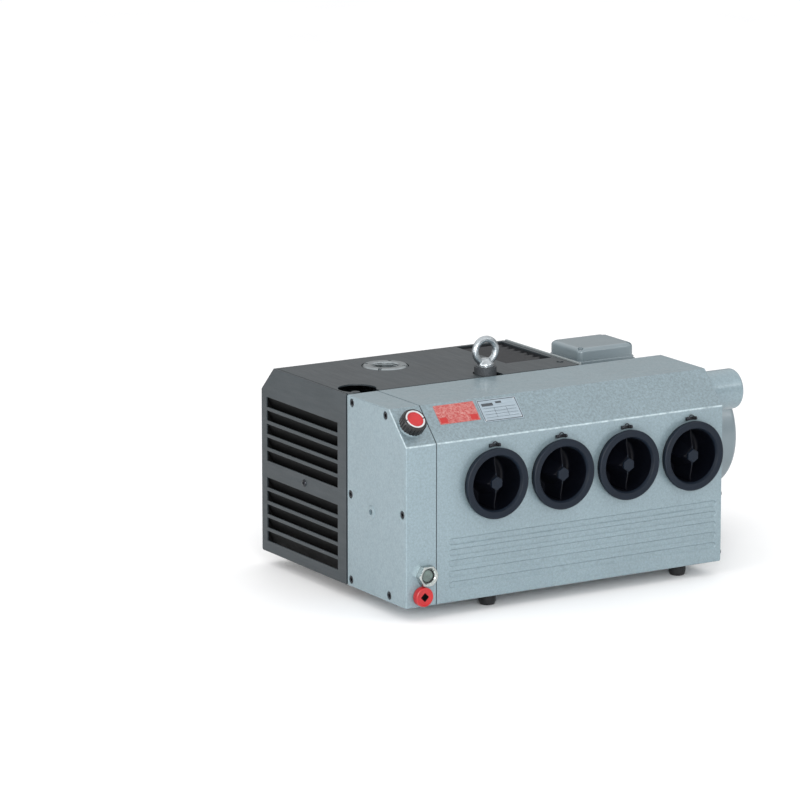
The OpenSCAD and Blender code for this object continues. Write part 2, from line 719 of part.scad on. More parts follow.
module terminal_box() color("#98a6aa") difference() {
    union() {
        box_at(1, 1, box_z[0]) round_box([box_w - 2, box_d - 2, box_z[1] - box_z[0]], 9);
        box_at(-3, -3, box_z[1] - 5) round_box([box_w + 6, box_d + 6, 5], 10);
    }
    box_at(6, 6, box_z[0] + 4) round_box([box_w - 12, box_d - 12, 70], 6);
    in_place() along_x(box_x[0] - 5, (box_y[0] + box_y[1]) / 2, gland_z)
        cylinder(r = 8.1, h = 16);
}

module terminal_lid() color("#9fadb0") difference() {
    union() {
        box_at(-1, -1, box_z[1]) round_box([box_w + 2, box_d + 2, 4], 9);
        box_at(2, 2, box_z[1]) round_box([box_w - 4, box_d - 4, lid_h - 3], 9);
        box_at(5, 5, box_z[1]) round_box([box_w - 10, box_d - 10, lid_h], 8);
    }
    box_at(8, 8, box_z[1] - 1) round_box([box_w - 16, box_d - 16, lid_h - 3], 6);
}

// screwed cable gland on the box's hood side
module cable_gland() color("#1c1e20") in_place()
    along_x(box_x[0] - 22, (box_y[0] + box_y[1]) / 2, gland_z) difference() {
        union() {
            cylinder(r = 10.5, h = 14);
            translate([0, 0, 13]) cylinder(r = 13, h = 9, $fn = 6);
            translate([0, 0, 21]) cylinder(r = 8, h = 12);
        }
        translate([0, 0, -1]) cylinder(r = 5, h = 40);
    }

// ---- sound hood ----

louvre_h = 15.2;
louvre_pitch = 20.3;
louvre_y = [190, 396];
bank_z = [16.5, 138];             // lower edge of each bank's first slot

module hood_left_panel() color("#4b5257") in_place() {
    difference() {
        along_x(0) linear_extrude(sheet) polygon(hood_outline(0));
        for (z0 = bank_z, i = [0:4]) translate([-1, louvre_y[0], z0 + i * louvre_pitch])
            cube([sheet + 2, louvre_y[1] - louvre_y[0], louvre_h]);
    }
    // returns that stiffen the edges, and the cross bar between the banks
    translate([sheet - e, case_d + 1, 0]) cube([14, sheet, case_h - 4]);
    translate([sheet - e, hood_back - sheet - 3, 0]) cube([14, sheet, case_h - hood_slope - 2]);
    translate([sheet - e, louvre_y[0], 120]) cube([8, louvre_y[1] - louvre_y[0], 12]);
    // screw in the middle of the cross bar
    along_x(-side_rise, 286, 126) cylinder(r1 = 4, r2 = 5.2, h = side_rise + 0.1, $fn = 32);
    // shelf and bolt under the top's corner cut-out
    translate([sheet - e, case_d + 1, case_h - 14]) cube([50, 52, sheet]);
    translate([notch[0], notch[1] + 4, case_h - 13]) cylinder(r = 7, h = 7, $fn = 6);
}

notch = [34, 192];                // x, y of the top's corner cut-out
notch_r = 28;
vent_x = [310, 390];
vent_y = [228, 366];

module hood_sheet(x0, x1) along_x(x0) linear_extrude(x1 - x0) difference() {
    polygon(hood_outline(0));
    polygon(hood_outline(sheet));
    translate([case_d, -2]) square([hood_back - case_d - sheet, 10]);
    translate([case_d - 1, -2]) square([sheet + 3, case_h - sheet + 2]);
}

module hood_top_panel() color("#4a4e52") in_place() difference() {
    union() {
        hood_sheet(sheet + 0.6, hood_l - 0.5);
        // heads of the screws that hold the top
        translate([385, 197, case_h - e]) cylinder(r = 5, h = 1.5, $fn = 32);
    }
    // round corner cut-out over the lifting lug, and the holes for the inlet and eye bolt
    translate([notch[0], notch[1], case_h - 10]) cylinder(r = notch_r, h = 20);
    translate([notch[0] - 21, case_d - 1, case_h - 10]) cube([42, 30, 20]);
    translate([inlet[0], inlet[1], case_h - 10]) cylinder(r = 35, h = 20, $fn = fine);
    translate([eye[0], eye[1], case_h - 10]) cylinder(r = 18.5, h = 20);
    translate([eye[0] - 18.5, case_d - 1, case_h - 10]) cube([37, eye[1] - case_d, 20]);
    translate([vent_x[0], vent_y[0], case_h - 10])
        cube([vent_x[1] - vent_x[0], vent_y[1] - vent_y[0], 20]);
}

module hood_end_panel() color("#a9b2b3") in_place() difference() {
    along_x(hood_l) linear_extrude(3) difference() {
        union() {
            polygon(hood_outline(0.5));
            translate([case_d + 1, case_h - 10]) square([hood_back - hood_slope - case_d - 6, 12]);
        }
        translate([case_d, -1]) square([hood_back - case_d, 9]);
    }
    on_shaft(hood_l - 1) cylinder(r = 101, h = 6, $fn = fine);
    translate([hood_l - 1, 320, 0]) cube([5, 78, 50]);
}

slat_n = 8;

module top_grille() color("#1f2224") in_place() {
    x0 = vent_x[0] - 5;
    l = vent_x[1] - vent_x[0] + 10;
    y0 = vent_y[0] - 5;
    d = vent_y[1] - vent_y[0] + 10;
    difference() {
        translate([x0, y0, case_h - 16]) cube([l, d, 13.8]);
        translate([vent_x[0] - 1, vent_y[0] - 1, case_h - 20]) cube([l - 8, d - 8, 30]);
    }
    for (i = [0:slat_n - 1]) translate([x0 + 1, vent_y[0] + (i + 0.5) * (d - 10) / slat_n, case_h - 9])
        rotate([40, 0, 0]) translate([0, -7, -1]) cube([l - 2, 14, 2]);
}

// ---- lifting and feet ----

module eye_bolt() color("#b4bcc0") in_place() translate([eye[0], eye[1], eye_z]) {
    translate([0, 0, -17]) cylinder(r = 5, h = 18, $fn = 32);
    cylinder(r = 12.5, h = 5);
    translate([0, 0, 5]) cylinder(r1 = 12.5, r2 = 8, h = 5.5);
    translate([0, 0, 23]) rotate([90, 0, 0]) ring(17.5, 5);
}

// four rubber-metal buffers with a stud up and a threaded hole below
module rubber_feet() color("#1b1d1e") in_place() for (x = foot_x, y = foot_y)
    translate([x, y, -foot_h]) difference() {
        union() {
            cylinder(r = foot_r, h = foot_h, $fn = 48);
            cylinder(r = 4, h = foot_h + 12, $fn = 24);
        }
        translate([0, 0, -1]) cylinder(r = 3.4, h = 11, $fn = 24);
    }

// channel under the pump and the motor, on the two rear feet
module rear_rail() color("#33373a") in_place() difference() {
    union() {
        difference() {
            translate([125, 360, 0]) cube([390, 36, rail_h]);
            translate([124, 363, -1]) cube([392, 30, rail_h - 2]);
        }
        for (x = foot_x) translate([x, foot_y[1], 0]) cylinder(r = 11, h = rail_h - 2);
    }
    for (x = foot_x) translate([x, foot_y[1], -1]) cylinder(r = 4.1, h = 30, $fn = 24);
}

separator_housing();
end_housing();
end_gasket();
housing_screws();
exhaust_plate();
exhaust_tube();
filter_cover_1();
filter_cover_2();
filter_cover_3();
filter_cover_4();
filter_elements();
cover_seals();
clip_brackets();
cover_clip_1();
cover_clip_2();
cover_clip_3();
cover_clip_4();
filler_cap();
filler_cap_disc();
filler_seal();
sight_glass();
sight_lens();
drain_plug();
drain_seal();
oil_label();
rating_plate();
oil_float();
pump_cylinder();
pump_end_plates();
pump_rotor();
vane_1();
vane_2();
vane_3();
shaft_bearings();
shaft_seals();
cooling_fan();
coupling_pump_half();
coupling_spider();
coupling_motor_half();
coupling_housing();
inlet_flange();
inlet_screen();
check_valve_disc();
check_valve_spring();
exhaust_valve();
motor_frame();
motor_stator();
motor_rotor();
motor_fan();
fan_cover();
terminal_box();
terminal_lid();
cable_gland();
hood_left_panel();
hood_top_panel();
hood_end_panel();
top_grille();
eye_bolt();
rubber_feet();
rear_rail();
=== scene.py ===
# Looks of an oil-lubricated rotary vane vacuum pump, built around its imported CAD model.
# Shapes are drawn in millimetres from the grey casing's lower front left corner:
# X runs along the casing, Y towards the hood's back, Z up. TO_FRAME takes them to metres.

import json
import math

import bmesh
import bpy
from mathutils import Matrix, Vector

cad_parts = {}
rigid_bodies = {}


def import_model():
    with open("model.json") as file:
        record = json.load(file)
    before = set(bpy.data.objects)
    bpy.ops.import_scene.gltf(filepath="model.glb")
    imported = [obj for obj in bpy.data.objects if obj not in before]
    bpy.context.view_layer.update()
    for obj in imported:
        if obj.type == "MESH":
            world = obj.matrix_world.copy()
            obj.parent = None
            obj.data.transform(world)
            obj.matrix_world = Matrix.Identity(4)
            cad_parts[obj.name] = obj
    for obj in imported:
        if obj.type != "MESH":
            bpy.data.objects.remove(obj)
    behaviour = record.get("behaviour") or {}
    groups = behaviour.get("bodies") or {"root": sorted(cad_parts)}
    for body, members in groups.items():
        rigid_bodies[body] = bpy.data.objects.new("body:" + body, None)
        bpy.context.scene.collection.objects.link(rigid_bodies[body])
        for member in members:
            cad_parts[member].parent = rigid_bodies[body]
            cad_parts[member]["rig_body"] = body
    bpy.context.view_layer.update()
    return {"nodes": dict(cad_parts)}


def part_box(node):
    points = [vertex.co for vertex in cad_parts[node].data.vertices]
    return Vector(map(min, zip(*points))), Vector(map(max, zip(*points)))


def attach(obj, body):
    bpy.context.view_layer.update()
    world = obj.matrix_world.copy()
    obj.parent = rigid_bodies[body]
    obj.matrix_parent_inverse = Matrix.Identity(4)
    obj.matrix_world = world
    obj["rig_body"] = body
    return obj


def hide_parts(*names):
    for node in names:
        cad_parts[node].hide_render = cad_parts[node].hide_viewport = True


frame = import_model()
NODES = frame["nodes"]

# ---- places and sizes, read from the frame ----

MM = 0.001
GASKET_CORNER = Vector((50, 0.8, 0.8))      # the end gasket's lowest corner
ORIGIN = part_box("end_gasket")[0] - GASKET_CORNER * MM
TO_FRAME = Matrix.Translation(ORIGIN) @ Matrix.Scale(MM, 4)


def span(node):
    """A node's lowest and highest corner, in the casing's millimetres."""
    return [(corner - ORIGIN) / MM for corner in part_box(node)]


def facing_front(node):
    """A place at the casing's front, level with a node's middle, whose local z points inwards."""
    low, high = span(node)
    return along_y((low.x + high.x) / 2, 0, (low.z + high.z) / 2)


CASE_L, CASE_D, CASE_H = span("separator_housing")[1]
BODY_X0 = span("separator_housing")[0].x
END_W = span("end_housing")[1].x
SLOPE = 47                                   # size of the sloping edge along the top front
FRONT_H = CASE_H - SLOPE
COVERS = range(1, 5)
COVER_R = (span("filter_cover_1")[1].x - span("filter_cover_1")[0].x) / 2
COVER_RISE = -span("filter_cover_1")[0].y


# ---- where a local z axis points ----

def axes(at, x, y, z):
    """The matrix that turns local x, y, z to these directions and moves the origin to a place."""
    return Matrix.Translation(at) @ Matrix((x, y, z)).transposed().to_4x4()


def along_x(x, y=0, z=0):
    """Local x, y, z become Y, Z, X."""
    return axes((x, y, z), (0, 1, 0), (0, 0, 1), (1, 0, 0))


def along_y(x, y, z):
    """Local x, y, z become X, -Z, Y."""
    return axes((x, y, z), (1, 0, 0), (0, 0, -1), (0, 1, 0))


def upright(x=0, y=0, z=0):
    return Matrix.Translation((x, y, z))


def on_slope(x, s):
    """Local x, y, z become X, up the casing's slope, out of it."""
    half = math.sqrt(0.5)
    at = Vector((x, s * half, FRONT_H + s * half))
    return axes(at, (1, 0, 0), (0, half, half), (0, -half, half))


def turned(degrees):
    return Matrix.Rotation(math.radians(degrees), 4, "Z")


# ---- outlines ----

def rounded(points, radius, steps=5):
    """A closed outline whose corners are arcs. The radius is one number, or one per corner."""
    radii = radius if isinstance(radius, (list, tuple)) else [radius] * len(points)
    out = []
    for i, r in enumerate(radii):
        corner = Vector(points[i])
        back = (Vector(points[i - 1]) - corner).normalized()
        ahead = (Vector(points[(i + 1) % len(points)]) - corner).normalized()
        if r <= 0:
            out.append(corner)
            continue
        half = back.angle(ahead) / 2
        centre = corner + (back + ahead).normalized() * (r / math.sin(half))
        first = corner + back * (r / math.tan(half)) - centre
        last = corner + ahead * (r / math.tan(half)) - centre
        start = math.atan2(first.y, first.x)
        turn = (math.atan2(last.y, last.x) - start + math.pi) % (2 * math.pi) - math.pi
        for j in range(steps + 1):
            a = start + turn * j / steps
            out.append(centre + Vector((math.cos(a), math.sin(a))) * r)
    return out


def rectangle(x0, y0, x1, y1):
    return [(x0, y0), (x1, y0), (x1, y1), (x0, y1)]


def regular(sides, r, first=0):
    """A regular outline with a corner at that many degrees."""
    turn = [math.radians(first + 360 * i / sides) for i in range(sides)]
    return [(r * math.cos(a), r * math.sin(a)) for a in turn]


def slot(length, height, grow=0):
    """A slot with round ends from (0, 0) to (length, height), grown all round."""
    outline = rectangle(-grow, -grow, length + grow, height + grow)
    return rounded(outline, height / 2 + grow - 0.01, 8)


def casing_outline():
    return [(0, 0), (CASE_D, 0), (CASE_D, CASE_H), (SLOPE, CASE_H), (0, FRONT_H)]


# ---- solids ----

def solid(bm, place=None):
    if place:
        bm.transform(place)
    bmesh.ops.recalc_face_normals(bm, faces=bm.faces)
    mesh = bpy.data.meshes.new("solid")
    bm.to_mesh(mesh)
    bm.free()
    made = bpy.data.objects.new("solid", mesh)
    bpy.context.scene.collection.objects.link(made)
    return made


def skin(bm, ring_a, ring_b):
    """Faces between two rings. Either may be a single point."""
    n = max(len(ring_a), len(ring_b))
    for i in range(n):
        j = (i + 1) % n
        a, b = ring_a[i % len(ring_a)], ring_a[j % len(ring_a)]
        c, d = ring_b[j % len(ring_b)], ring_b[i % len(ring_b)]
        corners = [v for k, v in enumerate((a, b, c, d)) if v not in (a, b, c, d)[:k]]
        if len(corners) > 2:
            bm.faces.new(corners)


def loft(rings, place=None, closed=False, caps=True):
    """A solid through rings of points, each ring with as many points as the others."""
    bm = bmesh.new()
    made = [[bm.verts.new(p) for p in ring] for ring in rings]
    for a, b in zip(made, made[1:]):
        skin(bm, a, b)
    if closed:
        skin(bm, made[-1], made[0])
    elif caps:
        for ring in (made[0], made[-1]):
            if len(ring) > 2:
                bm.faces.new(ring)
    return solid(bm, place)


def lathe(profile, place=None, segments=96, closed=False):
    """A solid of revolution about local z. The profile's points are (radius, z)."""
    turn = [2 * math.pi * i / segments for i in range(segments)]
    rings = [[(r * math.cos(a), r * math.sin(a), z) for a in turn] if r > 0 else [(0, 0, z)]
             for r, z in profile]
    return loft(rings, place, closed)


def prism(outline, z0, z1, place=None, edge=0, steps=3):
    """An outline drawn out along local z, with the edges of both ends rounded."""
    bm = bmesh.new()
    low = [bm.verts.new((p[0], p[1], z0)) for p in outline]
    high = [bm.verts.new((p[0], p[1], z1)) for p in outline]
    skin(bm, low, high)
    ends = [bm.faces.new(low), bm.faces.new(high)]
    if edge:
        rims = list({e for face in ends for e in face.edges})
        bmesh.ops.bevel(bm, geom=rims, offset=edge, segments=steps, profile=0.5, affect="EDGES")
    return solid(bm, place)


def taper(low, high, z0, z1, place=None):
    """A solid between two outlines that have as many points as each other."""
    ends = ((low, z0), (high, z1))
    return loft([[(p[0], p[1], z) for p in outline] for outline, z in ends], place)


def box(low, high, edge=0.4, steps=2):
    outline = rectangle(low[0], low[1], high[0], high[1])
    bm = bmesh.new()
    bottom = [bm.verts.new((x, y, low[2])) for x, y in outline]
    top = [bm.verts.new((x, y, high[2])) for x, y in outline]
    skin(bm, bottom, top)
    bm.faces.new(bottom)
    bm.faces.new(top)
    if edge:
        bmesh.ops.bevel(bm, geom=bm.edges[:], offset=edge, segments=steps, profile=0.5,
                        affect="EDGES")
    return solid(bm)


def sweep(path, radius, place=None, sides=16):
    """A round wire through the points of a path."""
    points = [Vector(p) for p in path]
    rings = []
    side = None
    for i, p in enumerate(points):
        ahead = (points[min(i + 1, len(points) - 1)] - points[max(i - 1, 0)]).normalized()
        if side is None:
            side = ahead.orthogonal().normalized()
        side = (side - ahead * side.dot(ahead)).normalized()
        other = ahead.cross(side)
        turn = [2 * math.pi * j / sides for j in range(sides)]
        rings.append([p + (side * math.cos(a) + other * math.sin(a)) * radius for a in turn])
    return loft(rings, place)


def thread(r, z0, z1, pitch, depth, place=None, segments=60):
    """The ridge of an internal thread of core radius r."""
    count = int((z1 - z0 - pitch) / pitch * segments)
    rings = []
    for i in range(count + 1):
        a = 2 * math.pi * i / segments
        z = z0 + pitch / 2 + pitch * i / segments
        fade = min(1, i / 12, (count - i) / 12)
        ridge = ((r + 0.3, -pitch * 0.46), (r - depth * fade, -pitch * 0.06),
                 (r - depth * fade, pitch * 0.06), (r + 0.3, pitch * 0.46))
        rings.append([(q * math.cos(a), q * math.sin(a), z + dz) for q, dz in ridge])
    return loft(rings, place)


def bake(thing):
    """Turns a solid's modifiers into its mesh."""
    graph = bpy.context.evaluated_depsgraph_get()
    mesh = bpy.data.meshes.new_from_object(thing.evaluated_get(graph))
    thing.modifiers.clear()
    thing.data = mesh
    return thing


def combine(target, tools, how="DIFFERENCE"):
    """The target with the tools cut out of it, joined to it or kept in common with it."""
    for tool in tools:
        step = target.modifiers.new("combine", "BOOLEAN")
        step.operation = how
        step.solver = "EXACT"
        step.object = tool
    bake(target)
    for tool in tools:
        bpy.data.objects.remove(tool)
    return target


def joined(solids):
    """Separate solids as one mesh."""
    bm = bmesh.new()
    for thing in solids:
        bm.from_mesh(thing.data)
        bpy.data.objects.remove(thing)
    return solid(bm)


def cad_solid(node):
    """A node's CAD mesh as closed solids with whole flat faces, in the casing's millimetres."""
    bm = bmesh.new()
    bm.from_mesh(NODES[node].data)
    for layers in (bm.loops.layers.float_vector, bm.loops.layers.uv, bm.loops.layers.color):
        for layer in list(layers.values()):
            layers.remove(layer)
    bm.transform(TO_FRAME.inverted())
    bmesh.ops.remove_doubles(bm, verts=bm.verts, dist=0.002)
    bmesh.ops.dissolve_limit(bm, angle_limit=math.radians(0.6), verts=bm.verts, edges=bm.edges)
    vertices = [v.co.copy() for v in bm.verts]
    bm.verts.index_update()
    faces = [[v.index for v in f.verts] for f in bm.faces]
    bm.free()
    mesh = bpy.data.meshes.new(node)
    mesh.from_pydata(vertices, [], faces)
    made = bpy.data.objects.new(node, mesh)
    bpy.context.scene.collection.objects.link(made)
    return made


# ---- materials ----

def rgb(red, green, blue):
    """A screen colour from 0 to 255 as the linear colour that shaders use."""
    def linear(c):
        c /= 255
        return c / 12.92 if c <= 0.04045 else ((c + 0.055) / 1.055) ** 2.4
    return linear(red), linear(green), linear(blue), 1


def shade(base, gain, lift=0.0):
    """A lighter or darker version of a linear colour."""
    return tuple(min(1, c * gain + lift) for c in base[:3]) + (1,)


class Look:
    """A material in the making. Sizes are in millimetres on the object."""

    def __init__(self, name, **shader):
        self.material = bpy.data.materials.new(name)
        self.material.use_nodes = True
        self.tree = self.material.node_tree
        self.shader = self.tree.nodes["Principled BSDF"]
        self.where = self.add("TexCoord")["Object"]
        for key, value in shader.items():
            self.shader.inputs[key.replace("_", " ")].default_value = value

    def add(self, kind, inputs=None, **settings):
        node = self.tree.nodes.new("ShaderNode" + kind)
        for key, value in settings.items():
            setattr(node, key, value)
        for key, value in (inputs or {}).items():
            self.feed(node.inputs[key], value)
        return node.outputs

    def feed(self, socket, value):
        if isinstance(value, bpy.types.NodeSocket):
            self.tree.links.new(value, socket)
        else:
            socket.default_value = value

    def stretched(self, scale):
        return self.add("Mapping", {"Vector": self.where, "Scale": scale})["Vector"]

    def noise(self, size, detail=3, roughness=0.55, stretch=None):
        where = self.stretched(stretch) if stretch else self.where
        return self.add("TexNoise", {"Vector": where, "Scale": 1 / (size * MM), "Detail": detail,
                                     "Roughness": roughness})["Fac"]

    def cells(self, size, feature="SMOOTH_F1", stretch=None):
        where = self.stretched(stretch) if stretch else self.where
        return self.add("TexVoronoi", {"Vector": where, "Scale": 1 / (size * MM)},
                        feature=feature)["Distance"]

    def waves(self, size, direction="X", wobble=0.0):
        scale = 2 * math.pi / 20 / (size * MM)
        return self.add("TexWave", {"Vector": self.where, "Scale": scale, "Distortion": wobble},
                        wave_type="BANDS", bands_direction=direction)["Fac"]

    def span(self, value, low, high, to_low=0.0, to_high=1.0):
        return self.add("MapRange", {"Value": value, "From Min": low, "From Max": high,
                                     "To Min": to_low, "To Max": to_high})["Result"]

    def math(self, how, a, b=0.0):
        node = self.tree.nodes.new("ShaderNodeMath")
        node.operation = how
        self.feed(node.inputs[0], a)
        self.feed(node.inputs[1], b)
        return node.outputs[0]

    def mix(self, factor, a, b, blend="MIX"):
        node = self.tree.nodes.new("ShaderNodeMix")
        node.data_type = "RGBA"
        node.blend_type = blend
        self.feed(node.inputs[0], factor)
        self.feed(node.inputs[6], a)
        self.feed(node.inputs[7], b)
        return node.outputs[2]

    def from_casing(self):
        """The place in millimetres from the casing's corner, as sockets X, Y and Z."""
        place = self.add("Mapping", {"Vector": self.where, "Location": -ORIGIN / MM,
                                     "Scale": (1 / MM,) * 3})["Vector"]
        return self.add("SeparateXYZ", {"Vector": place})

    def reach(self, a, b):
        """The distance whose two legs are a and b."""
        square = self.math("ADD", self.math("MULTIPLY", a, a), self.math("MULTIPLY", b, b))
        return self.math("SQRT", square)

    def colour(self, value):
        self.feed(self.shader.inputs["Base Color"], value)
        return self

    def roughness(self, value):
        self.feed(self.shader.inputs["Roughness"], value)
        return self

    def bump(self, height, depth, strength=1.0):
        made = self.add("Bump", {"Height": height, "Distance": depth * MM, "Strength": strength})
        self.feed(self.shader.inputs["Normal"], made["Normal"])
        return self


def hammered_enamel(name, base, cell=3.0, depth=0.2):
    """Silvery enamel that dries in small dimples, with painted speckled shade on the slope and a
    painted highlight along the slope's edges, broken up like rubbed paint.
    """
    look = Look(name, Metallic=0.28, Coat_Weight=0.4, Coat_Roughness=0.22)
    cells = look.cells(cell)
    grain = look.noise(0.9, 4)
    broad = look.noise(120, 2)
    light = shade(base, 1.22)
    dark = shade(base, 0.6)
    at = look.from_casing()
    rise = look.math("SUBTRACT", at["Z"], FRONT_H)
    above = look.math("MULTIPLY", look.math("SUBTRACT", rise, at["Y"]), math.sqrt(0.5))
    # faces on the slope, where painted speckled shade goes
    sloping = look.math("MULTIPLY", look.span(look.math("ABSOLUTE", above), 0.6, 1.6, 1, 0),
                        look.span(at["X"], CASE_L, CASE_L + 1, 1, 0))
    # nearness to the slope's lower and left edges, for a painted highlight broken up like rubbed
    # paint
    edge = look.math("MINIMUM", look.reach(at["Y"], rise), look.reach(at["X"], above))
    edge_highlight = look.math("MULTIPLY", look.span(edge, 0.7, 1.9, 0.62, 0),
                       look.span(look.noise(11, 4, 0.6), 0.36, 0.62, 0.25, 1))
    tone = look.mix(look.span(cells, 0.1, 0.75), light, base)
    tone = look.mix(look.span(grain, 0.5, 0.72, 0, 0.5), tone, dark)
    tone = look.mix(look.span(broad, 0.3, 0.7, 0, 0.16), tone, dark)
    # painted speckled shade on the slope only, standing in for grazing light on the dimples
    slope_speck_shade = look.span(look.noise(3.4, 3, 0.7), 0.42, 0.62, 0.12, 0.62)
    tone = look.mix(look.math("MULTIPLY", sloping, slope_speck_shade), tone, dark)
    # the painted highlight along the slope's edges, in a pale blue-grey
    look.colour(look.mix(edge_highlight, tone, rgb(206, 222, 228)))
    look.roughness(look.span(look.noise(14, 3), 0.3, 0.7, 0.36, 0.5))
    height = look.math("ADD", look.math("MULTIPLY", cells, -1.0), look.math("MULTIPLY", grain, 0.3))
    return look.bump(height, depth).material


def smooth_enamel(name, base):
    look = Look(name, Metallic=0.15, Coat_Weight=0.35, Coat_Roughness=0.18)
    peel = look.noise(2.6, 2)
    broad = look.noise(60, 3)
    dark = shade(base, 0.8)
    look.colour(look.mix(look.span(broad, 0.3, 0.75, 0, 0.35), base, dark))
    look.roughness(look.span(broad, 0.3, 0.7, 0.34, 0.46))
    return look.bump(peel, 0.06).material


def powder_coat(name, base, gloss=0.46):
    """Satin powder coat with its fine orange-peel grain and faint rub marks."""
    look = Look(name, Coat_Weight=0.12, Coat_Roughness=0.3)
    grain = look.noise(0.8, 3, 0.6)
    peel = look.noise(3.2, 2)
    broad = look.noise(80, 4)
    rubs = look.noise(9, 5, 0.7, (1, 0.12, 1))
    light = shade(base, 1.35, 0.004)
    dark = shade(base, 0.8)
    tone = look.mix(look.span(broad, 0.3, 0.7), dark, base)
    tone = look.mix(look.span(rubs, 0.6, 0.8, 0, 0.4), tone, light)
    tone = look.mix(look.span(grain, 0.62, 0.75, 0, 0.3), tone, light)
    look.colour(tone)
    look.roughness(look.span(rubs, 0.35, 0.7, gloss, gloss + 0.12))
    height = look.math("ADD", grain, look.math("MULTIPLY", peel, 1.4))
    return look.bump(height, 0.07).material


def moulded(name, base, gloss=0.34, depth=0.03, shine=0.5):
    """Moulded plastic: fine spark-eroded texture, slow gloss changes, a few hairline scuffs."""
    look = Look(name, Specular_IOR_Level=shine)
    grain = look.noise(0.5, 2)
    broad = look.noise(22, 4)
    scuffs = look.noise(5, 6, 0.75, (1, 1, 0.15))
    light = shade(base, 1.5, 0.004)
    dark = shade(base, 0.8)
    tone = look.mix(look.span(broad, 0.3, 0.7), dark, base)
    look.colour(look.mix(look.span(scuffs, 0.64, 0.8, 0, 0.35), tone, light))
    look.roughness(look.span(broad, 0.3, 0.7, gloss, gloss + 0.14))
    return look.bump(look.math("ADD", grain, look.math("MULTIPLY", broad, 0.8)), depth).material


def rubber(name, base):
    look = Look(name, Specular_IOR_Level=0.35, Sheen_Weight=0.12, Sheen_Roughness=0.4)
    grain = look.noise(0.6, 4, 0.7)
    bloom = look.noise(16, 4)
    pale = shade(base, 1.9, 0.012)
    look.colour(look.mix(look.span(bloom, 0.45, 0.8, 0, 0.5), base, pale))
    look.roughness(look.span(bloom, 0.3, 0.7, 0.6, 0.8))
    return look.bump(grain, 0.05).material


def plated(name, base, gloss=0.22, spots=0.25):
    """Zinc or nickel plating over drawn or forged steel."""
    look = Look(name, Metallic=1.0)
    fine = look.noise(0.7, 3)
    broad = look.noise(7, 4, 0.6)
    dull = shade(base, 0.62)
    look.colour(look.mix(look.span(broad, 0.42, 0.72, 0, spots * 2), base, dull))
    look.roughness(look.span(broad, 0.3, 0.72, gloss, gloss + 0.2))
    return look.bump(look.math("ADD", fine, look.math("MULTIPLY", broad, 0.8)), 0.03).material


def turned_metal(name, base, axis="X", gloss=0.24):
    """Metal off the lathe, with its fine rings across an axis."""
    look = Look(name, Metallic=1.0)
    rings = look.waves(0.5, axis, 1.5)
    broad = look.noise(12, 4)
    dull = shade(base, 0.7)
    look.colour(look.mix(look.span(broad, 0.35, 0.75, 0, 0.6), base, dull))
    look.roughness(look.span(broad, 0.3, 0.7, gloss, gloss + 0.16))
    return look.bump(rings, 0.015).material


def cast(name, base, metallic=0.6, grain_size=1.6, depth=0.25):
    """A rough sand-cast surface with darker pores."""
    look = Look(name, Metallic=metallic)
    grain = look.noise(grain_size, 5, 0.62)
    pores = look.cells(grain_size * 2.4, "F1")
    broad = look.noise(30, 4)
    dark = shade(base, 0.5)
    tone = look.mix(look.span(grain, 0.45, 0.68), base, dark)
    look.colour(look.mix(look.span(broad, 0.35, 0.7, 0, 0.4), tone, dark))
    look.roughness(look.span(grain, 0.3, 0.7, 0.5, 0.72))
    height = look.math("ADD", grain, look.math("MULTIPLY", pores, 0.4))
    return look.bump(height, depth).material


def pleated_paper(name, base):
    look = Look(name, Sheen_Weight=0.3, Specular_IOR_Level=0.2)
    pleats = look.waves(3.2, "X", 0.4)
    fibre = look.noise(1.1, 6, 0.75)
    stain = look.noise(26, 4)
    stain_and_fold_shade = (base[0] * 0.62, base[1] * 0.48, base[2] * 0.3, 1)
    # brown stains at random
    tone = look.mix(look.span(stain, 0.4, 0.75, 0, 0.7), base, stain_and_fold_shade)
    # the pleats' folds are painted darker brown: painted shade in the creases
    look.colour(look.mix(look.span(pleats, 0, 1, 0.4, 0), tone, stain_and_fold_shade))
    look.roughness(look.span(fibre, 0.3, 0.7, 0.8, 0.95))
    return look.bump(look.math("ADD", pleats, look.math("MULTIPLY", fibre, 0.2)), 0.5).material


def copper_winding(name, base):
    look = Look(name, Metallic=0.7, Coat_Weight=0.5, Coat_Roughness=0.25)
    turns = look.waves(0.9, "Y", 2.5)
    broad = look.noise(8, 4)
    dark = shade(base, 0.35)
    # darker between the turns of wire: painted shade in the grooves
    look.colour(look.mix(look.span(turns, 0.1, 0.6), dark, base))
    look.roughness(look.span(broad, 0.3, 0.7, 0.3, 0.5))
    return look.bump(turns, 0.3).material


def lens_glass(name, base):
    """The oil window: thick grey-green glass over a dark chamber, mottled darker with painted shade
    of the chamber.
    """
    look = Look(name, IOR=1.5, Coat_Weight=1.0, Coat_Roughness=0.03, Transmission_Weight=0.25)
    depth = look.noise(9, 2)
    dark = shade(base, 0.42)
    # darker patches: painted shade of the chamber behind the glass
    look.colour(look.mix(look.span(depth, 0.35, 0.65), dark, base))
    look.roughness(look.span(look.noise(3, 3), 0.3, 0.7, 0.05, 0.12))
    return look.bump(depth, 0.05).material


def printed_film(name, base, pale):
    """The red service label: film with paler mottled rows of print, and no lettering."""
    look = Look(name, Coat_Weight=0.5, Coat_Roughness=0.16)
    mottle = look.noise(2.6, 5, 0.7, (0.7, 1, 1))
    broad = look.noise(14, 3)
    tone = look.mix(look.span(mottle, 0.4, 0.62), base, pale)
    look.colour(look.mix(look.span(broad, 0.3, 0.75, 0, 0.45), tone, base))
    look.roughness(look.span(broad, 0.3, 0.7, 0.28, 0.42))
    return look.bump(mottle, 0.02).material


def brushed_plate(name, base):
    look = Look(name, Metallic=0.85)
    brush = look.noise(0.7, 4, 0.7, (0.03, 1, 1))
    broad = look.noise(20, 3)
    dull = shade(base, 0.72)
    look.colour(look.mix(look.span(brush, 0.35, 0.7), base, dull))
    look.roughness(look.span(broad, 0.3, 0.7, 0.32, 0.48))
    return look.bump(brush, 0.02).material


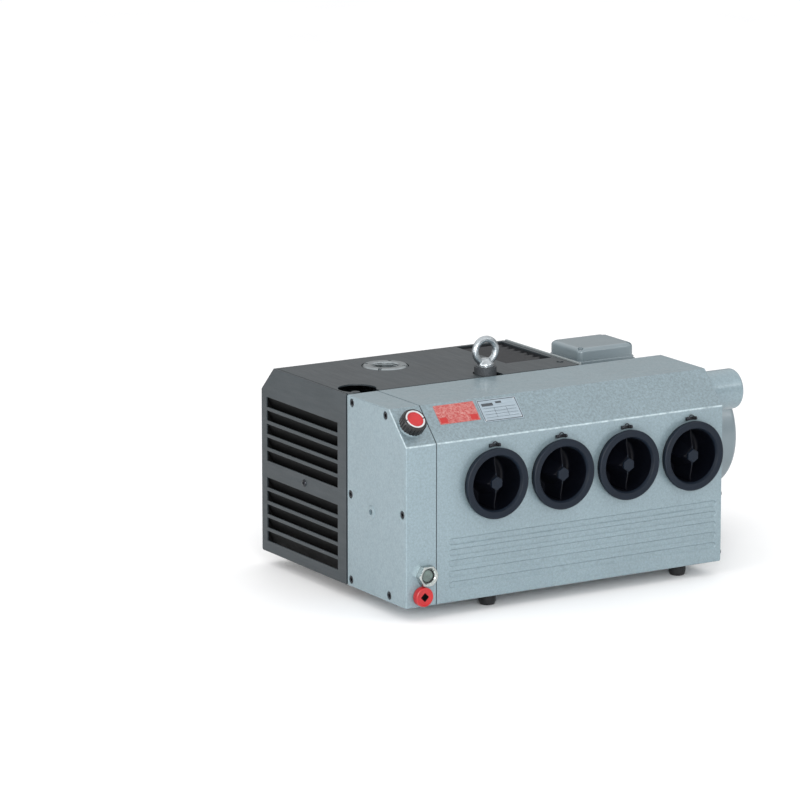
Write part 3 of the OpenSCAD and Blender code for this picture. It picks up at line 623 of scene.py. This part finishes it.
LOOKS = {
    "casing_paint": hammered_enamel("hammered_silver_enamel", rgb(120, 137, 144)),
    "motor_paint": smooth_enamel("grey_enamel", rgb(116, 129, 135)),
    "hood_paint": powder_coat("charcoal_powder_coat", rgb(38, 47, 52)),
    "panel_zinc": smooth_enamel("pale_panel_enamel", rgb(138, 146, 148)),
    "grille_black": powder_coat("black_powder_coat", rgb(26, 28, 32)),
    "cover_plastic": moulded("slate_glass_nylon", rgb(9, 21, 34), 0.44, shine=0.24),
    "black_plastic": moulded("black_nylon", rgb(10, 11, 14), 0.3),
    "red_plastic": moulded("red_nylon", rgb(172, 28, 32), 0.28),
    "rubber_black": rubber("black_rubber", rgb(24, 25, 27)),
    "fibre_seal": rubber("red_fibre", rgb(112, 42, 34)),
    "nickel": plated("nickel_plate", rgb(176, 182, 180), 0.16, 0.3),
    "glass_lens": lens_glass("oil_window_glass", rgb(88, 110, 104)),
    "zinc_steel": plated("zinc_plate", rgb(178, 184, 188), 0.26),
    "dark_steel": plated("black_oxide_steel", rgb(62, 64, 68), 0.32),
    "turned_steel": turned_metal("turned_steel", rgb(170, 172, 174)),
    "cast_iron": cast("cast_iron", rgb(78, 82, 86)),
    "aluminium": cast("cast_aluminium", rgb(150, 155, 158), 0.8, 1.2, 0.15),
    "bronze": turned_metal("bearing_bronze", rgb(176, 132, 74)),
    "carbon_vane": moulded("carbon_fibre_vane", rgb(46, 46, 48), 0.42),
    "filter_paper": pleated_paper("filter_paper", rgb(208, 196, 158)),
    "winding": copper_winding("varnished_copper", rgb(184, 104, 58)),
    "label_red": printed_film("service_label", rgb(150, 34, 32), rgb(172, 116, 110)),
    "plate_alu": brushed_plate("brushed_plate", rgb(166, 180, 190)),
    "float_material": moulded("float_shell", rgb(196, 176, 128), 0.5),
}
WHITE_PRINT = moulded("white_print", rgb(190, 192, 194), 0.4)
RED_PRINT = moulded("red_print", rgb(170, 26, 24), 0.4)
DARK_PRINT = moulded("dark_print", rgb(58, 64, 70), 0.5)
# near-black for the filter covers' recesses: painted shade
PAINTED_RECESS_SHADE = moulded("painted_recess_shade", rgb(5, 7, 15), 0.42, shine=0.16)
# near-black for the louvre blades and the drain plug's socket: painted shade
PAINTED_HOLLOW_SHADE = moulded("painted_hollow_shade", rgb(7, 8, 9), 0.7, shine=0.15)

for node_name, node in NODES.items():
    look_name = node.data.materials[0].name.split(".")[0]
    node.data.materials[0] = LOOKS[look_name]


# ---- putting pieces on the bodies ----

def show(thing, name, slot_name, stands_for=(), body="pump_unit", look=None, edge=0.0, angle=32,
         weighted=True):
    """Places a solid in the frame as a piece with its material, its shading and its body."""
    thing.name = name
    thing.data.name = name
    thing.data.transform(TO_FRAME)
    thing.data.materials.clear()
    thing.data.materials.append(look or LOOKS[slot_name])
    thing.data.polygons.foreach_set("material_index", [0] * len(thing.data.polygons))
    if edge:
        bevel = thing.modifiers.new("edges", "BEVEL")
        bevel.width = edge * MM
        bevel.segments = 2
        bevel.limit_method = "ANGLE"
        bevel.angle_limit = math.radians(angle)
        bake(thing)
    thing.data.shade_smooth()
    thing.data.set_sharp_from_angle(angle=math.radians(angle + 12 if edge else angle))
    if weighted:
        level = thing.modifiers.new("flats", "WEIGHTED_NORMAL")
        level.keep_sharp = True
    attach(thing, body)
    if stands_for:
        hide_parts(*([stands_for] if isinstance(stands_for, str) else stands_for))
    return thing


def give_painted_shade(thing, look, inside):
    """Gives the faces whose middle is inside a hollow a dark material of their own: painted shade
    in the hollow.
    """
    thing.data.materials.append(look)
    thing.data.polygons.foreach_set("material_index", [int(in_shade) for in_shade in inside])


def face_middles(thing, place):
    """The middle of each face, in the local axes of a place."""
    back = place.inverted()
    return [back @ face.center for face in thing.data.polygons]


def refine(node, edge=0.5, angle=32):
    """Shows a CAD node with its edges rounded."""
    slot_name = SLOT_OF[node]
    show(cad_solid(node), node + "_refined", slot_name, node, NODES[node]["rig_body"], edge=edge,
         angle=angle)


SLOT_OF = {}
for slot_key, made_look in LOOKS.items():
    for node_name, node in NODES.items():
        if node.data.materials[0] == made_look:
            SLOT_OF[node_name] = slot_key


# ---- grey casing ----

EDGE_R = 2.2                                 # rounding of the casting's outer edges
PAST = 0.1                                   # how far a cutter reaches past a surface


def flute_tools():
    """Flared cutters that soften the flutes on the casing's front."""
    length, height, flare = 457, 7, 1.7
    x0, z0, pitch = 73, 22, 15.7
    tools = []
    for i in range(5):
        place = axes((x0, 0, z0 + i * pitch), (1, 0, 0), (0, 0, 1), (0, -1, 0))
        tools.append(taper(slot(length, height), slot(length, height, flare + PAST),
                           -flare, PAST, place))
    return tools


def build_casing():
    outline = rounded(casing_outline(), EDGE_R, 6)
    limit = prism(outline, BODY_X0, CASE_L, along_x(0), 0.9)
    casing = combine(cad_solid("separator_housing"), [limit], "INTERSECT")
    combine(casing, flute_tools())
    show(casing, "separator_casing", "casing_paint", "separator_housing")


END_SCREWS = [(150, 271), (57, 270), (154, 136), (11, 135), (153, 10), (47, 10)]
BLIND_BOSS = (95, 122)
FILLER_X = 21                                # the filler's place along the casing and up its slope
FILLER_S = SLOPE / math.sqrt(2)


def build_end_column():
    outline = rounded(casing_outline(), EDGE_R, 6)
    limit = prism(outline, 0, END_W, along_x(0), 0)
    bm = bmesh.new()
    bm.from_mesh(limit.data)
    for x, offset, segments in ((0, 1.5, 4), (END_W, 0.9, 2)):
        rim = [e for e in bm.edges if all(abs(v.co.x - x) < 0.01 for v in e.verts)]
        bmesh.ops.bevel(bm, geom=rim, offset=offset, segments=segments, profile=0.5, affect="EDGES")
    bpy.data.objects.remove(limit)
    column = combine(cad_solid("end_housing"), [solid(bm)], "INTERSECT")
    neck = lathe([(12, -6), (19.5, -6), (19.5, -0.2), (17.6, 0.5), (17.1, 1.4), (17, 2.4),
                  (16.4, 3), (12, 3)], on_slope(FILLER_X, FILLER_S), closed=True)
    boss = lathe([(4.4, 2), (11.5, 2), (10.6, 0), (9.3, -0.6), (8.6, -1.2), (7.6, -1.5),
                  (4.4, -1.5)], along_x(0, *BLIND_BOSS), 64, closed=True)
    combine(column, [neck, boss], "UNION")
    mouths = [lathe([(0, -1), (7.2, -1), (6, 0.4), (6, 1), (0, 1)], along_x(0, y, z), 48)
              for y, z in END_SCREWS]
    combine(column, mouths)
    show(column, "end_column", "casing_paint", "end_housing")


# ---- filter covers and their wire bails ----

def build_cover(k):
    """A deep moulded cover: rim, tapering recess, grip web, four-sided hub and hexagon."""
    node = f"filter_cover_{k}"
    place = facing_front(node)
    r, front = COVER_R, -COVER_RISE
    rim = rounded([(46, 40), (46, -0.3), (r - 3.1, -0.3), (r - 3.1, front + 6.2), (r, front + 5.6),
                   (r, front + 0.9), (r - 1.7, front), (41.9, front + 0.5), (39.6, front + 4.5),
                   (37.4, 36), (0.01, 36), (0.01, 40)],
                  [1, 0, 0.4, 0.6, 0.8, 1.2, 1.1, 1.4, 2.5, 5, 0, 0], 5)
    shell = lathe([(p.x, p.y) for p in rim], place, 128, closed=True)
    # the web is thin at its crest and wider at the recess floor
    crest = [(-0.6, -40.5), (0.6, -40.5), (0.6, 40.5), (-0.6, 40.5)]
    foot = [(-3, -38.3), (3, -38.3), (3, 38.3), (-3, 38.3)]
    web = taper(crest, foot, -1.5, 36.5, place)
    raised = prism(rounded([(-41, 1), (-15, -5.4), (15, -5.4), (41, 1), (41, 6), (-41, 6)],
                           [1, 4, 4, 1, 0, 0]), -0.8, 0.8,
                   place @ axes((0, 0, 0), (0, 1, 0), (0, 0, 1), (1, 0, 0)), 0.5)
    hub = loft([[(p[0], p[1], z) for p in rounded(regular(4, size, 90), size * 0.1, 4)]
                for size, z in ((25, 36.5), (24, 30), (13.5, -2.5), (11, -4.6))], place)
    collar = lathe([(0, -5.2), (7.6, -5.2), (8.2, -4.6), (8.2, -3), (0, -3)], place, 64)
    hexagon = prism(rounded(regular(6, 9.9, 90), 0.8, 3), -9, -5, place, 0.7)
    combine(shell, [web, raised, hub, collar, hexagon], "UNION")
    # the recess walls and floor, web, hub and collar get near-black: painted shade in the recess
    recess_shade = [at.to_2d().length < 41.6 and at.z > -5.4 for at in face_middles(shell, place)]
    show(shell, f"filter_cover_moulding_{k}", "cover_plastic", node, f"cover_{k}", angle=28)
    give_painted_shade(shell, PAINTED_RECESS_SHADE, recess_shade)


BAIL_WIRE = 0.9                              # radius of the bails' wire


def build_brackets():
    """The pressed brackets: for each wire a strip with two drilled, round-nosed ears."""
    half_high, reach, apart = 2.4, 5, 7.6
    brackets, holes = [], []
    for k in COVERS:
        low, high = span(f"cover_clip_{k}")
        x, y, z = (low.x + high.x) / 2, (low.y + high.y) / 2, low.z + BAIL_WIRE
        strip = prism(rounded(rectangle(-9, -half_high, 9, half_high), 0.8, 3), -0.8, 0,
                      along_y(x, 0, z), 0.2, 1)
        nose = rounded(rectangle(-reach, z - half_high, -0.1, z + half_high), [2.3, 0, 0, 2.3])
        ears = [prism(nose, x + side * apart - 1.4, x + side * apart + 1.4, along_x(0), 0.3)
                for side in (-1, 1)]
        brackets.append(combine(strip, ears, "UNION"))
        holes.append(prism(regular(32, 1.05), x - 12, x + 12, along_x(0, y, z)))
    show(combine(joined(brackets), [joined(holes)]), "wire_bail_brackets", "dark_steel",
         "clip_brackets", angle=34)


def build_clip(k):
    node = f"cover_clip_{k}"
    low, high = span(node)
    x, y, z = (low.x + high.x) / 2, (low.y + high.y) / 2, low.z + BAIL_WIRE
    half, leg, bend, foot = 4.2, 1, 0.6, 5.2
    path = [(x - half - foot, y, z), (x - half - bend, y, z)]
    path += [(x - half - bend + bend * math.sin(a), y, z + bend - bend * math.cos(a))
             for a in (math.radians(15 * i) for i in range(1, 7))]
    path += [(x - half * math.cos(a), y, z + leg + half * math.sin(a))
             for a in (math.radians(10 * i) for i in range(19))]
    path += [(x + half + bend - bend * math.sin(a), y, z + bend - bend * math.cos(a))
             for a in (math.radians(15 * i) for i in range(6, 0, -1))]
    path += [(x + half + bend, y, z), (x + half + foot, y, z)]
    show(sweep(path, BAIL_WIRE), f"wire_bail_{k}", "dark_steel", node, f"clip_{k}", angle=50,
         weighted=False)


# ---- oil service fittings ----

def build_filler():
    place = on_slope(FILLER_X, FILLER_S)
    lobes, groove_r, lobe_high = 24, 17.6, 1.3
    grip = []
    for i in range(lobes * 12):
        a = 2 * math.pi * i / (lobes * 12)
        r = groove_r + lobe_high * min(1, max(0, 0.5 + 1.6 * math.cos(lobes * a)))
        grip.append((r * math.cos(a), r * math.sin(a)))
    cap = prism(grip, 4.5, 20, place)
    dome = lathe([(0, -12), (11.7, -12), (11.7, 4.5), (18.2, 4.5), (19.2, 5.5), (19.2, 15.6),
                  (17.4, 18.9), (16.9, 19.7), (16, 20), (0, 20)], place, 96)
    stem = lathe([(0, -11), (10.7, -11), (11.7, -10), (11.7, 5), (0, 5)], place, 64)
    combine(cap, [stem], "UNION")
    combine(cap, [dome], "INTERSECT")
    pocket = lathe([(0, 18.7), (14.9, 18.7), (14.9, 21), (0, 21)], place, 96)
    combine(cap, [pocket])
    show(cap, "filler_cap_grip", "black_plastic", "filler_cap", "filler", angle=26)
    ring = lathe(rounded([(12.2, 18.6), (14.7, 18.6), (14.7, 20.2), (12.2, 20.2)],
                         [0, 0, 0.4, 0.4], 3), place, 96, closed=True)
    combine(ring, [prism(rectangle(x - 2, -1.1, x + 2, 1.1), 18, 21, place) for x in (-13.5, 13.5)])
    show(ring, "filler_cap_ring", "black_plastic", (), "filler", WHITE_PRINT, angle=40)
    disc = lathe([(0, 18.75), (12, 18.75), (12, 19.5), (11.6, 19.9), (10.4, 19.95), (10.1, 19.6),
                  (9.2, 19.6), (8.9, 19.95), (4, 20.25), (0, 20.3)], place, 96)
    show(disc, "filler_cap_inlay", "red_plastic", "filler_cap_disc", "filler", angle=40)


def build_sight_glass():
    place = facing_front("sight_glass")
    hexagon = prism(rounded(regular(6, 16.2), 0.6, 2), -11, 0, place)
    crown = lathe([(0, 0.1), (16.6, 0.1), (16.6, -9.2), (14.1, -11), (0, -11)], place, 96)
    combine(hexagon, [crown], "INTERSECT")
    mouth = lathe([(0, -12), (12.6, -12), (12.3, -11), (11.4, -10.1), (10.4, -8.6), (10.05, -8),
                   (10.05, -0.5), (7.5, -0.4), (7.5, 1), (0, 1)], place, 96)
    combine(hexagon, [mouth])
    stem = lathe([(7.5, -0.3), (10.4, -0.3), (10.4, 12.4), (9.8, 13), (7.5, 13)], place, 64,
                 closed=True)
    combine(hexagon, [stem], "UNION")
    show(hexagon, "sight_glass_nut", "nickel", "sight_glass", angle=24)
    lens = lathe([(0, -0.2), (9.9, -0.2), (9.9, -5.2), (9.5, -5.7), (8.2, -6), (4, -6.3),
                  (0, -6.4)], place, 96)
    show(lens, "sight_glass_window", "glass_lens", "sight_lens", angle=40)
    wire = 0.75
    seal = lathe([(9.3 + wire * math.cos(a), -6.2 + wire * math.sin(a))
                  for a in (math.pi * i / 6 for i in range(12))], place, 96, closed=True)
    show(seal, "sight_glass_ring", "rubber_black", angle=60)


def build_drain_plug():
    low, high = span("drain_plug")
    place = facing_front("drain_plug")
    r = (high.x - low.x) / 2
    plug = lathe([(0, 13), (9.6, 13), (10.4, 12.2), (10.4, -1.6), (r - 0.6, -1.6), (r, -2.2),
                  (r, -9.2), (r - 0.5, -10.3), (r - 1.5, -11), (11.6, -11), (10.9, -10.6),
                  (9.6, -10.45), (0, -10.4)], place, 96)
    socket = taper(rounded(regular(4, 6.9), 1.1, 4), rounded(regular(4, 5.6), 0.9, 4),
                   -11.2, -2.6, place)
    combine(plug, [socket])
    # the square socket's inside gets near-black: painted shade in the socket
    in_shade = [at.to_2d().length < 6.4 and -10.2 < at.z < -2 for at in face_middles(plug, place)]
    show(plug, "drain_plug_moulding", "red_plastic", "drain_plug", "drain", angle=30)
    give_painted_shade(plug, PAINTED_HOLLOW_SHADE, in_shade)


# ---- plates ----

def build_oil_label():
    low, high = span("oil_label")
    width = high.x - low.x
    length = 32
    place = on_slope(low.x, 30)
    film = prism(rounded(rectangle(0, 0, width, length), 1.6, 4), 0.02, 0.36, place, 0.1, 1)
    show(film, "service_label_film", "label_red", "oil_label", angle=20)
    blocks = [prism(rounded(rectangle(x, 1.8, x + 12, 10.8), 0.8, 3), 0.3, 0.44, place)
              for x in (2.2, width - 14.2)]
    show(joined(blocks), "service_label_blocks", "label_red", (), look=RED_PRINT, angle=20)


def build_rating_plate():
    """A blank rating plate: rim line, empty fields and four rivets."""
    low, high = span("rating_plate")
    width, length = 66, 37.5
    place = on_slope(low.x, 24)
    plate = prism(rounded(rectangle(0, 0, width, length), 2, 4), 0, 0.8, place, 0.15, 1)
    show(plate, "rating_plate_sheet", "plate_alu", "rating_plate", angle=20)
    outer, inner = [rounded(rectangle(inset, inset, width - inset, length - inset), corner, 4)
                    for inset, corner in ((1.2, 1.4), (2.2, 0.9))]
    lines = [combine(prism(outer, 0.7, 0.9, place), [prism(inner, 0.6, 1, place)])]
    for row in range(4):
        y = 6.6 + row * 5.2
        lines.append(prism(rectangle(6, y, width - 6, y + 0.45), 0.75, 0.88, place))
    for x in (24, 44):
        lines.append(prism(rectangle(x, 6.6, x + 0.45, 22.2), 0.75, 0.88, place))
    lines.append(prism(rounded(rectangle(6, 26, 25, 31), 0.6, 2), 0.75, 0.88, place))
    lines.append(prism(rounded(rectangle(30, 29, 40, 32.5), 0.6, 2), 0.75, 0.88, place))
    show(joined(lines), "rating_plate_fields", "plate_alu", (), look=DARK_PRINT, angle=20)
    dome = [(0, 1.4), (0.6, 1.32), (1.05, 1.1), (1.3, 0.75), (0, 0.7)]
    rivets = [lathe(dome, place @ upright(x, y, 0), 24) for x in (3.5, 62.5) for y in (3.5, 34)]
    show(joined(rivets), "rating_plate_rivets", "zinc_steel", angle=40)


# ---- exhaust and inlet ----

PIPE_PITCH, RIDGE = 2.31, 0.9                # pitch of the G 1 1/4 thread, height of its ridge


def build_exhaust_tube():
    low, high = span("exhaust_tube")
    r, length = 30, high.x - low.x
    bore, port, port_depth = 17.5, 19.5, 26
    place = along_x(low.x, (low.y + high.y) / 2, (low.z + high.z) / 2)
    end = length - port_depth
    outline = rounded([(bore - 1, 0), (r + 5, 0), (r + 5, 5), (r, 5), (r, length),
                       (port + 1.4, length), (port, length - 1.4), (port, end), (bore - 1, end)],
                      [0, 0.5, 0.5, 0, 5, 0.5, 0.3, 0, 0.5], 6)
    tube = lathe(outline, place, 128, closed=True)
    show(tube, "exhaust_outlet", "casing_paint", "exhaust_tube", angle=26)
    show(thread(port, end + 2, length - 1, PIPE_PITCH, RIDGE, place), "exhaust_outlet_thread",
         "casing_paint", angle=30)


def build_inlet():
    low, high = span("inlet_flange")
    place = upright((low.x + high.x) / 2, (low.y + high.y) / 2, low.z)
    top, r, port = high.z - low.z, 33.5, 19.5
    outline = rounded([(17, 1.3), (20.5, 1.3), (20.5, 0), (r, 0), (r, top - 2), (r - 2, top),
                       (port + 2, top), (port, top - 1.6), (port, 2.6), (17, 2.6)],
                      [0, 0, 0, 0.6, 0.8, 0.8, 0.6, 0.4, 0, 0.4], 4)
    flange = lathe(outline, place, 128, closed=True)
    notches = [prism(rounded(rectangle(26, -2.5, 36, 2.5), [1.5, 0, 0, 1.5], 4), top - 3.5, top + 3,
                     place @ turned(a), 0.4, 1) for a in (45, 135, 225, 315)]
    combine(flange, notches)
    machined = plated("machined_aluminium", rgb(150, 157, 160), 0.26, 0.3)
    show(flange, "inlet_port_ring", "aluminium", "inlet_flange", angle=26, look=machined)
    show(thread(port, 3.5, top - 1, PIPE_PITCH, RIDGE, place), "inlet_port_thread", "aluminium",
         angle=30, look=machined)


# ---- sound hood ----

LOUVRES = {"y": (190, 396), "height": 15.2, "pitch": 20.3, "banks": (16.5, 138)}
HOOD_SCREW = (286, 126)
HOOD_JOINT = 2.8                             # open joint between the casing and the hood's sheets


def hood_outline():
    back, hood_slope = span("hood_top_panel")[1].y, 37
    y0 = CASE_D + HOOD_JOINT
    return [(y0, 0), (back, 0), (back, CASE_H - hood_slope), (back - hood_slope, CASE_H),
            (y0, CASE_H)]


def build_left_panel():
    """The louvred panel, with a sloping blade behind each slot that closes the view inside. The
    blades are near-black: painted shade inside the slots.
    """
    limit = prism(rounded(hood_outline(), [1.5, 3, 5, 5, 2], 5), -0.01, 400, along_x(0))
    panel = combine(cad_solid("hood_left_panel"), [limit], "INTERSECT")
    y0, y1 = LOUVRES["y"]
    height, pitch = LOUVRES["height"], LOUVRES["pitch"]
    across = axes((0, 0, 0), (1, 0, 0), (0, 0, 1), (0, -1, 0))
    blades = []
    for bank in LOUVRES["banks"]:
        for i in range(5):
            z = bank + i * pitch
            profile = [(2.1, z + height + 2), (2.1, z + height - 0.4), (15.4, z - 7.4),
                       (16.2, z - 6)]
            blades.append(prism(rounded(profile, 0.25, 2), -y1 - 6, -y0 + 6, across))
        for y in (y0 - 7.4, y1 + 6):
            blades.append(box((2.1, y, bank - 7), (16.2, y + 1.4, bank + 5 * pitch), 0.3))
    screw = lathe([(0, 0.3), (5.4, 0.3), (5.4, -0.3), (4.9, -1.2), (3.6, -1.8), (2, -2), (0, -2)],
                  along_x(0, *HOOD_SCREW), 48)
    screw = combine(screw, [prism(regular(6, 2.4), -2.5, -0.8, along_x(0, *HOOD_SCREW))])
    show(panel, "hood_louvre_panel", "hood_paint", "hood_left_panel", edge=0.35, angle=30)
    # near-black blades: painted shade inside the louvre slots
    show(joined(blades), "hood_louvre_blades", "grille_black", look=PAINTED_HOLLOW_SHADE, angle=30)
    show(screw, "hood_panel_screw", "dark_steel", angle=30)


def build_top_panel():
    outline = rounded(hood_outline(), [1, 1.5, 4.5, 4.5, 1.2], 6)
    limit = prism(outline, 2 + HOOD_JOINT / 2, 400, along_x(0))
    low, high = span("hood_top_panel")
    head = box((380, 192, CASE_H - 1), (390, 202, high.z + 1), 0)
    limit = combine(limit, [head], "UNION")
    panel = combine(cad_solid("hood_top_panel"), [limit], "INTERSECT")
    show(panel, "hood_top_sheet", "hood_paint", "hood_top_panel", edge=0.4, angle=30)


# ---- eye bolt and feet ----

def build_eye_bolt():
    """A forged eye: the ring flows into the collar, over a turned underside."""
    low, high = span("eye_bolt")
    x, y = (low.x + high.x) / 2, (low.y + high.y) / 2
    ring_r, wire, seat = 17.5, 5, 291
    ring = lathe([(ring_r + wire * math.cos(a), wire * math.sin(a))
                  for a in (2 * math.pi * i / 24 for i in range(24))],
                 axes((x, y, high.z - ring_r - wire), (1, 0, 0), (0, 0, 1), (0, -1, 0)), 72,
                 closed=True)
    neck = lathe([(0, 0.6), (12.4, 0.6), (12.4, 4), (11.6, 5.6), (9.4, 7.2), (7.6, 9.5),
                  (6.4, 12), (0, 13)], upright(x, y, seat), 72)
    combine(ring, [neck], "UNION")
    melt = ring.modifiers.new("melt", "REMESH")
    melt.mode = "VOXEL"
    melt.voxel_size = 0.7
    soften = ring.modifiers.new("soften", "SMOOTH")
    soften.iterations = 14
    soften.factor = 0.5
    bake(ring)
    show(ring, "eye_bolt_forging", "zinc_steel", "eye_bolt", angle=80, weighted=False)
    shank = lathe([(0, -17), (4.2, -17), (5, -16.2), (5, 0), (12, 0), (12.5, 0.4), (12.5, 1.6),
                   (12, 2), (0, 2)], upright(x, y, seat), 72)
    show(shank, "eye_bolt_shank", "zinc_steel", angle=35)


def build_feet():
    bottom = span("rubber_feet")[0].z
    feet, washers = [], []
    for x in (156, 486):
        for y in (33, 378):
            place = upright(x, y, bottom)
            feet.append(lathe([(3.4, 0), (9.4, 0), (10.6, 0.5), (11.6, 2.2), (12.3, 5), (12.5, 8),
                               (12.5, 16.4), (12, 17.4), (3.4, 17.4)], place, 64, closed=True))
            washers.append(lathe([(0, 17.2), (12, 17.2), (12.3, 17.5), (12.3, 19.7), (12, 20),
                                  (4, 20), (4, 31.4), (3.4, 32), (0, 32)], place, 64))
    show(joined(feet), "rubber_feet_buffers", "rubber_black", "rubber_feet", angle=30)
    show(joined(washers), "rubber_feet_plates", "dark_steel", angle=30)


# ---- terminal box ----

def cushion_box(low, high, corner, crown, bottom=0.0):
    """A box with round upright edges and a softly crowned top edge."""
    def outline(inset):
        return rounded(rectangle(low[0] + inset, low[1] + inset, high[0] - inset, high[1] - inset),
                       max(corner - inset * 0.6, 1), 6)
    rings = [[(p[0], p[1], low[2]) for p in outline(bottom)],
             [(p[0], p[1], low[2] + bottom) for p in outline(0)]] if bottom else \
            [[(p[0], p[1], low[2]) for p in outline(0)]]
    steps = 7
    for i in range(steps + 1):
        a = math.pi / 2 * i / steps
        inset = crown * (1 - math.cos(a))
        rings.append([(p[0], p[1], high[2] - crown + crown * math.sin(a)) for p in outline(inset)])
    return loft(rings)


def build_terminal_box():
    low, high = span("terminal_lid")
    z0, step, wall, screw_in = low.z, 1.2, 9, 8
    lid = cushion_box((low.x + step, low.y + step, z0 + 0.5),
                      (high.x - step, high.y - step, high.z), 10, 7)
    flange = cushion_box((low.x, low.y, z0), (high.x, high.y, z0 + 4.6), 9, 1.4, 0.5)
    combine(lid, [flange], "UNION")
    cavity = cushion_box((low.x + wall, low.y + wall, z0 - 1),
                         (high.x - wall, high.y - wall, high.z - 3), 7, 5)
    combine(lid, [cavity])
    corners = [(x, y) for x in (low.x + screw_in, high.x - screw_in)
               for y in (low.y + screw_in, high.y - screw_in)]
    top = high.z
    recesses = [lathe([(0, top - 6), (4.2, top - 6), (4.2, top + 1), (0, top + 1)],
                      upright(x, y, 0), 32) for x, y in corners]
    screws = [lathe([(0, top - 6.2), (3.9, top - 6.2), (3.9, top - 4.4), (3.2, top - 3.6),
                     (0, top - 3.2)], upright(x, y, 0), 32) for x, y in corners]
    combine(lid, recesses)
    show(lid, "terminal_lid_casting", "motor_paint", "terminal_lid", angle=30)
    slots = [box((x - 3.3, y - 0.5, top - 4.6), (x + 3.3, y + 0.5, top - 3), 0)
             for x, y in corners]
    heads = combine(joined(screws), slots)
    show(heads, "terminal_lid_screws", "zinc_steel", angle=30)


# ---- camera, floor and light ----

def build_camera():
    """The viewpoint: low, front left, with a long lens."""
    azimuth, elevation, distance = math.radians(-31.19), math.radians(12.14), 7.0
    aim = Vector((-0.2346, 0.0006, 0.2917))
    level = math.cos(elevation)
    back = Vector((math.sin(azimuth) * level, -math.cos(azimuth) * level, math.sin(elevation)))
    data = bpy.data.cameras.new("camera")
    data.lens = 217.5
    data.sensor_width = 36
    data.shift_x = -0.004
    data.shift_y = -0.016
    data.clip_end = 100
    camera = bpy.data.objects.new("camera", data)
    camera.location = aim + back * distance
    camera.rotation_euler = (math.pi / 2 - elevation, 0, azimuth)
    bpy.context.scene.collection.objects.link(camera)
    bpy.context.scene.camera = camera


def area_light(name, at, aim, size, power):
    data = bpy.data.lights.new(name, "AREA")
    data.shape = "RECTANGLE"
    data.size, data.size_y = size
    data.energy = power
    light = bpy.data.objects.new(name, data)
    light.location = at
    light.rotation_euler = (Vector(aim) - Vector(at)).to_track_quat("-Z", "Y").to_euler()
    bpy.context.scene.collection.objects.link(light)


def build_studio():
    scene = bpy.context.scene
    scene.view_settings.view_transform = "Standard"
    world = bpy.data.worlds.new("studio")
    world.use_nodes = True
    # a white dome that fades towards the horizon
    nodes, links = world.node_tree.nodes, world.node_tree.links
    sky = nodes["Background"]
    sky.inputs["Color"].default_value = (1, 1, 1, 1)
    where = nodes.new("ShaderNodeTexCoord")
    parts = nodes.new("ShaderNodeSeparateXYZ")
    fade = nodes.new("ShaderNodeMapRange")
    # the height where the fade starts and ends, and the brightness there
    for key, value in {"From Min": 0.15, "From Max": 0.6, "To Min": 0.25, "To Max": 1.27}.items():
        fade.inputs[key].default_value = value
    links.new(where.outputs["Generated"], parts.inputs["Vector"])
    links.new(parts.outputs["Z"], fade.inputs["Value"])
    links.new(fade.outputs["Result"], sky.inputs["Strength"])
    scene.world = world
    floor_reach = 14
    bm = bmesh.new()
    bmesh.ops.create_grid(bm, x_segments=8, y_segments=8, size=floor_reach)
    floor = solid(bm)
    floor.name = "floor"
    look = Look("pale_floor", Roughness=0.55)
    look.colour(look.mix(look.span(look.noise(300, 3), 0.3, 0.7), rgb(246, 246, 247),
                         rgb(250, 250, 250)))
    look.bump(look.noise(2, 3), 0.02)
    floor.data.materials.append(look.material)
    area_light("front_softbox", (-2.0, -3.9, 1.25), (0, 0, 0.15), (2.2, 1.4), 126)
    area_light("side_softbox", (-3.4, -0.6, 1.0), (-0.2, 0, 0.15), (1.4, 1.2), 34)
    area_light("edge_strip", (2.1, -3.0, 1.95), (0, 0, 0.2), (1.6, 0.35), 16)


# ---- build ----

build_camera()
build_studio()
build_casing()
build_end_column()
build_brackets()
for number in COVERS:
    build_cover(number)
    build_clip(number)
build_filler()
build_sight_glass()
build_drain_plug()
build_oil_label()
build_rating_plate()
build_exhaust_tube()
build_inlet()
build_left_panel()
build_top_panel()
build_eye_bolt()
build_feet()
build_terminal_box()
for refined_node, rounding in {
        "housing_screws": 0.35, "exhaust_plate": 0.6, "pump_cylinder": 0.8, "coupling_housing": 0.8,
        "motor_frame": 0.5, "fan_cover": 0.4, "terminal_box": 0.6, "cable_gland": 0.4,
        "hood_end_panel": 0.5, "top_grille": 0.3, "rear_rail": 0.6, "cooling_fan": 0.3,
        "pump_end_plates": 0.6, "inlet_screen": 0.15}.items():
    refine(refined_node, rounding)
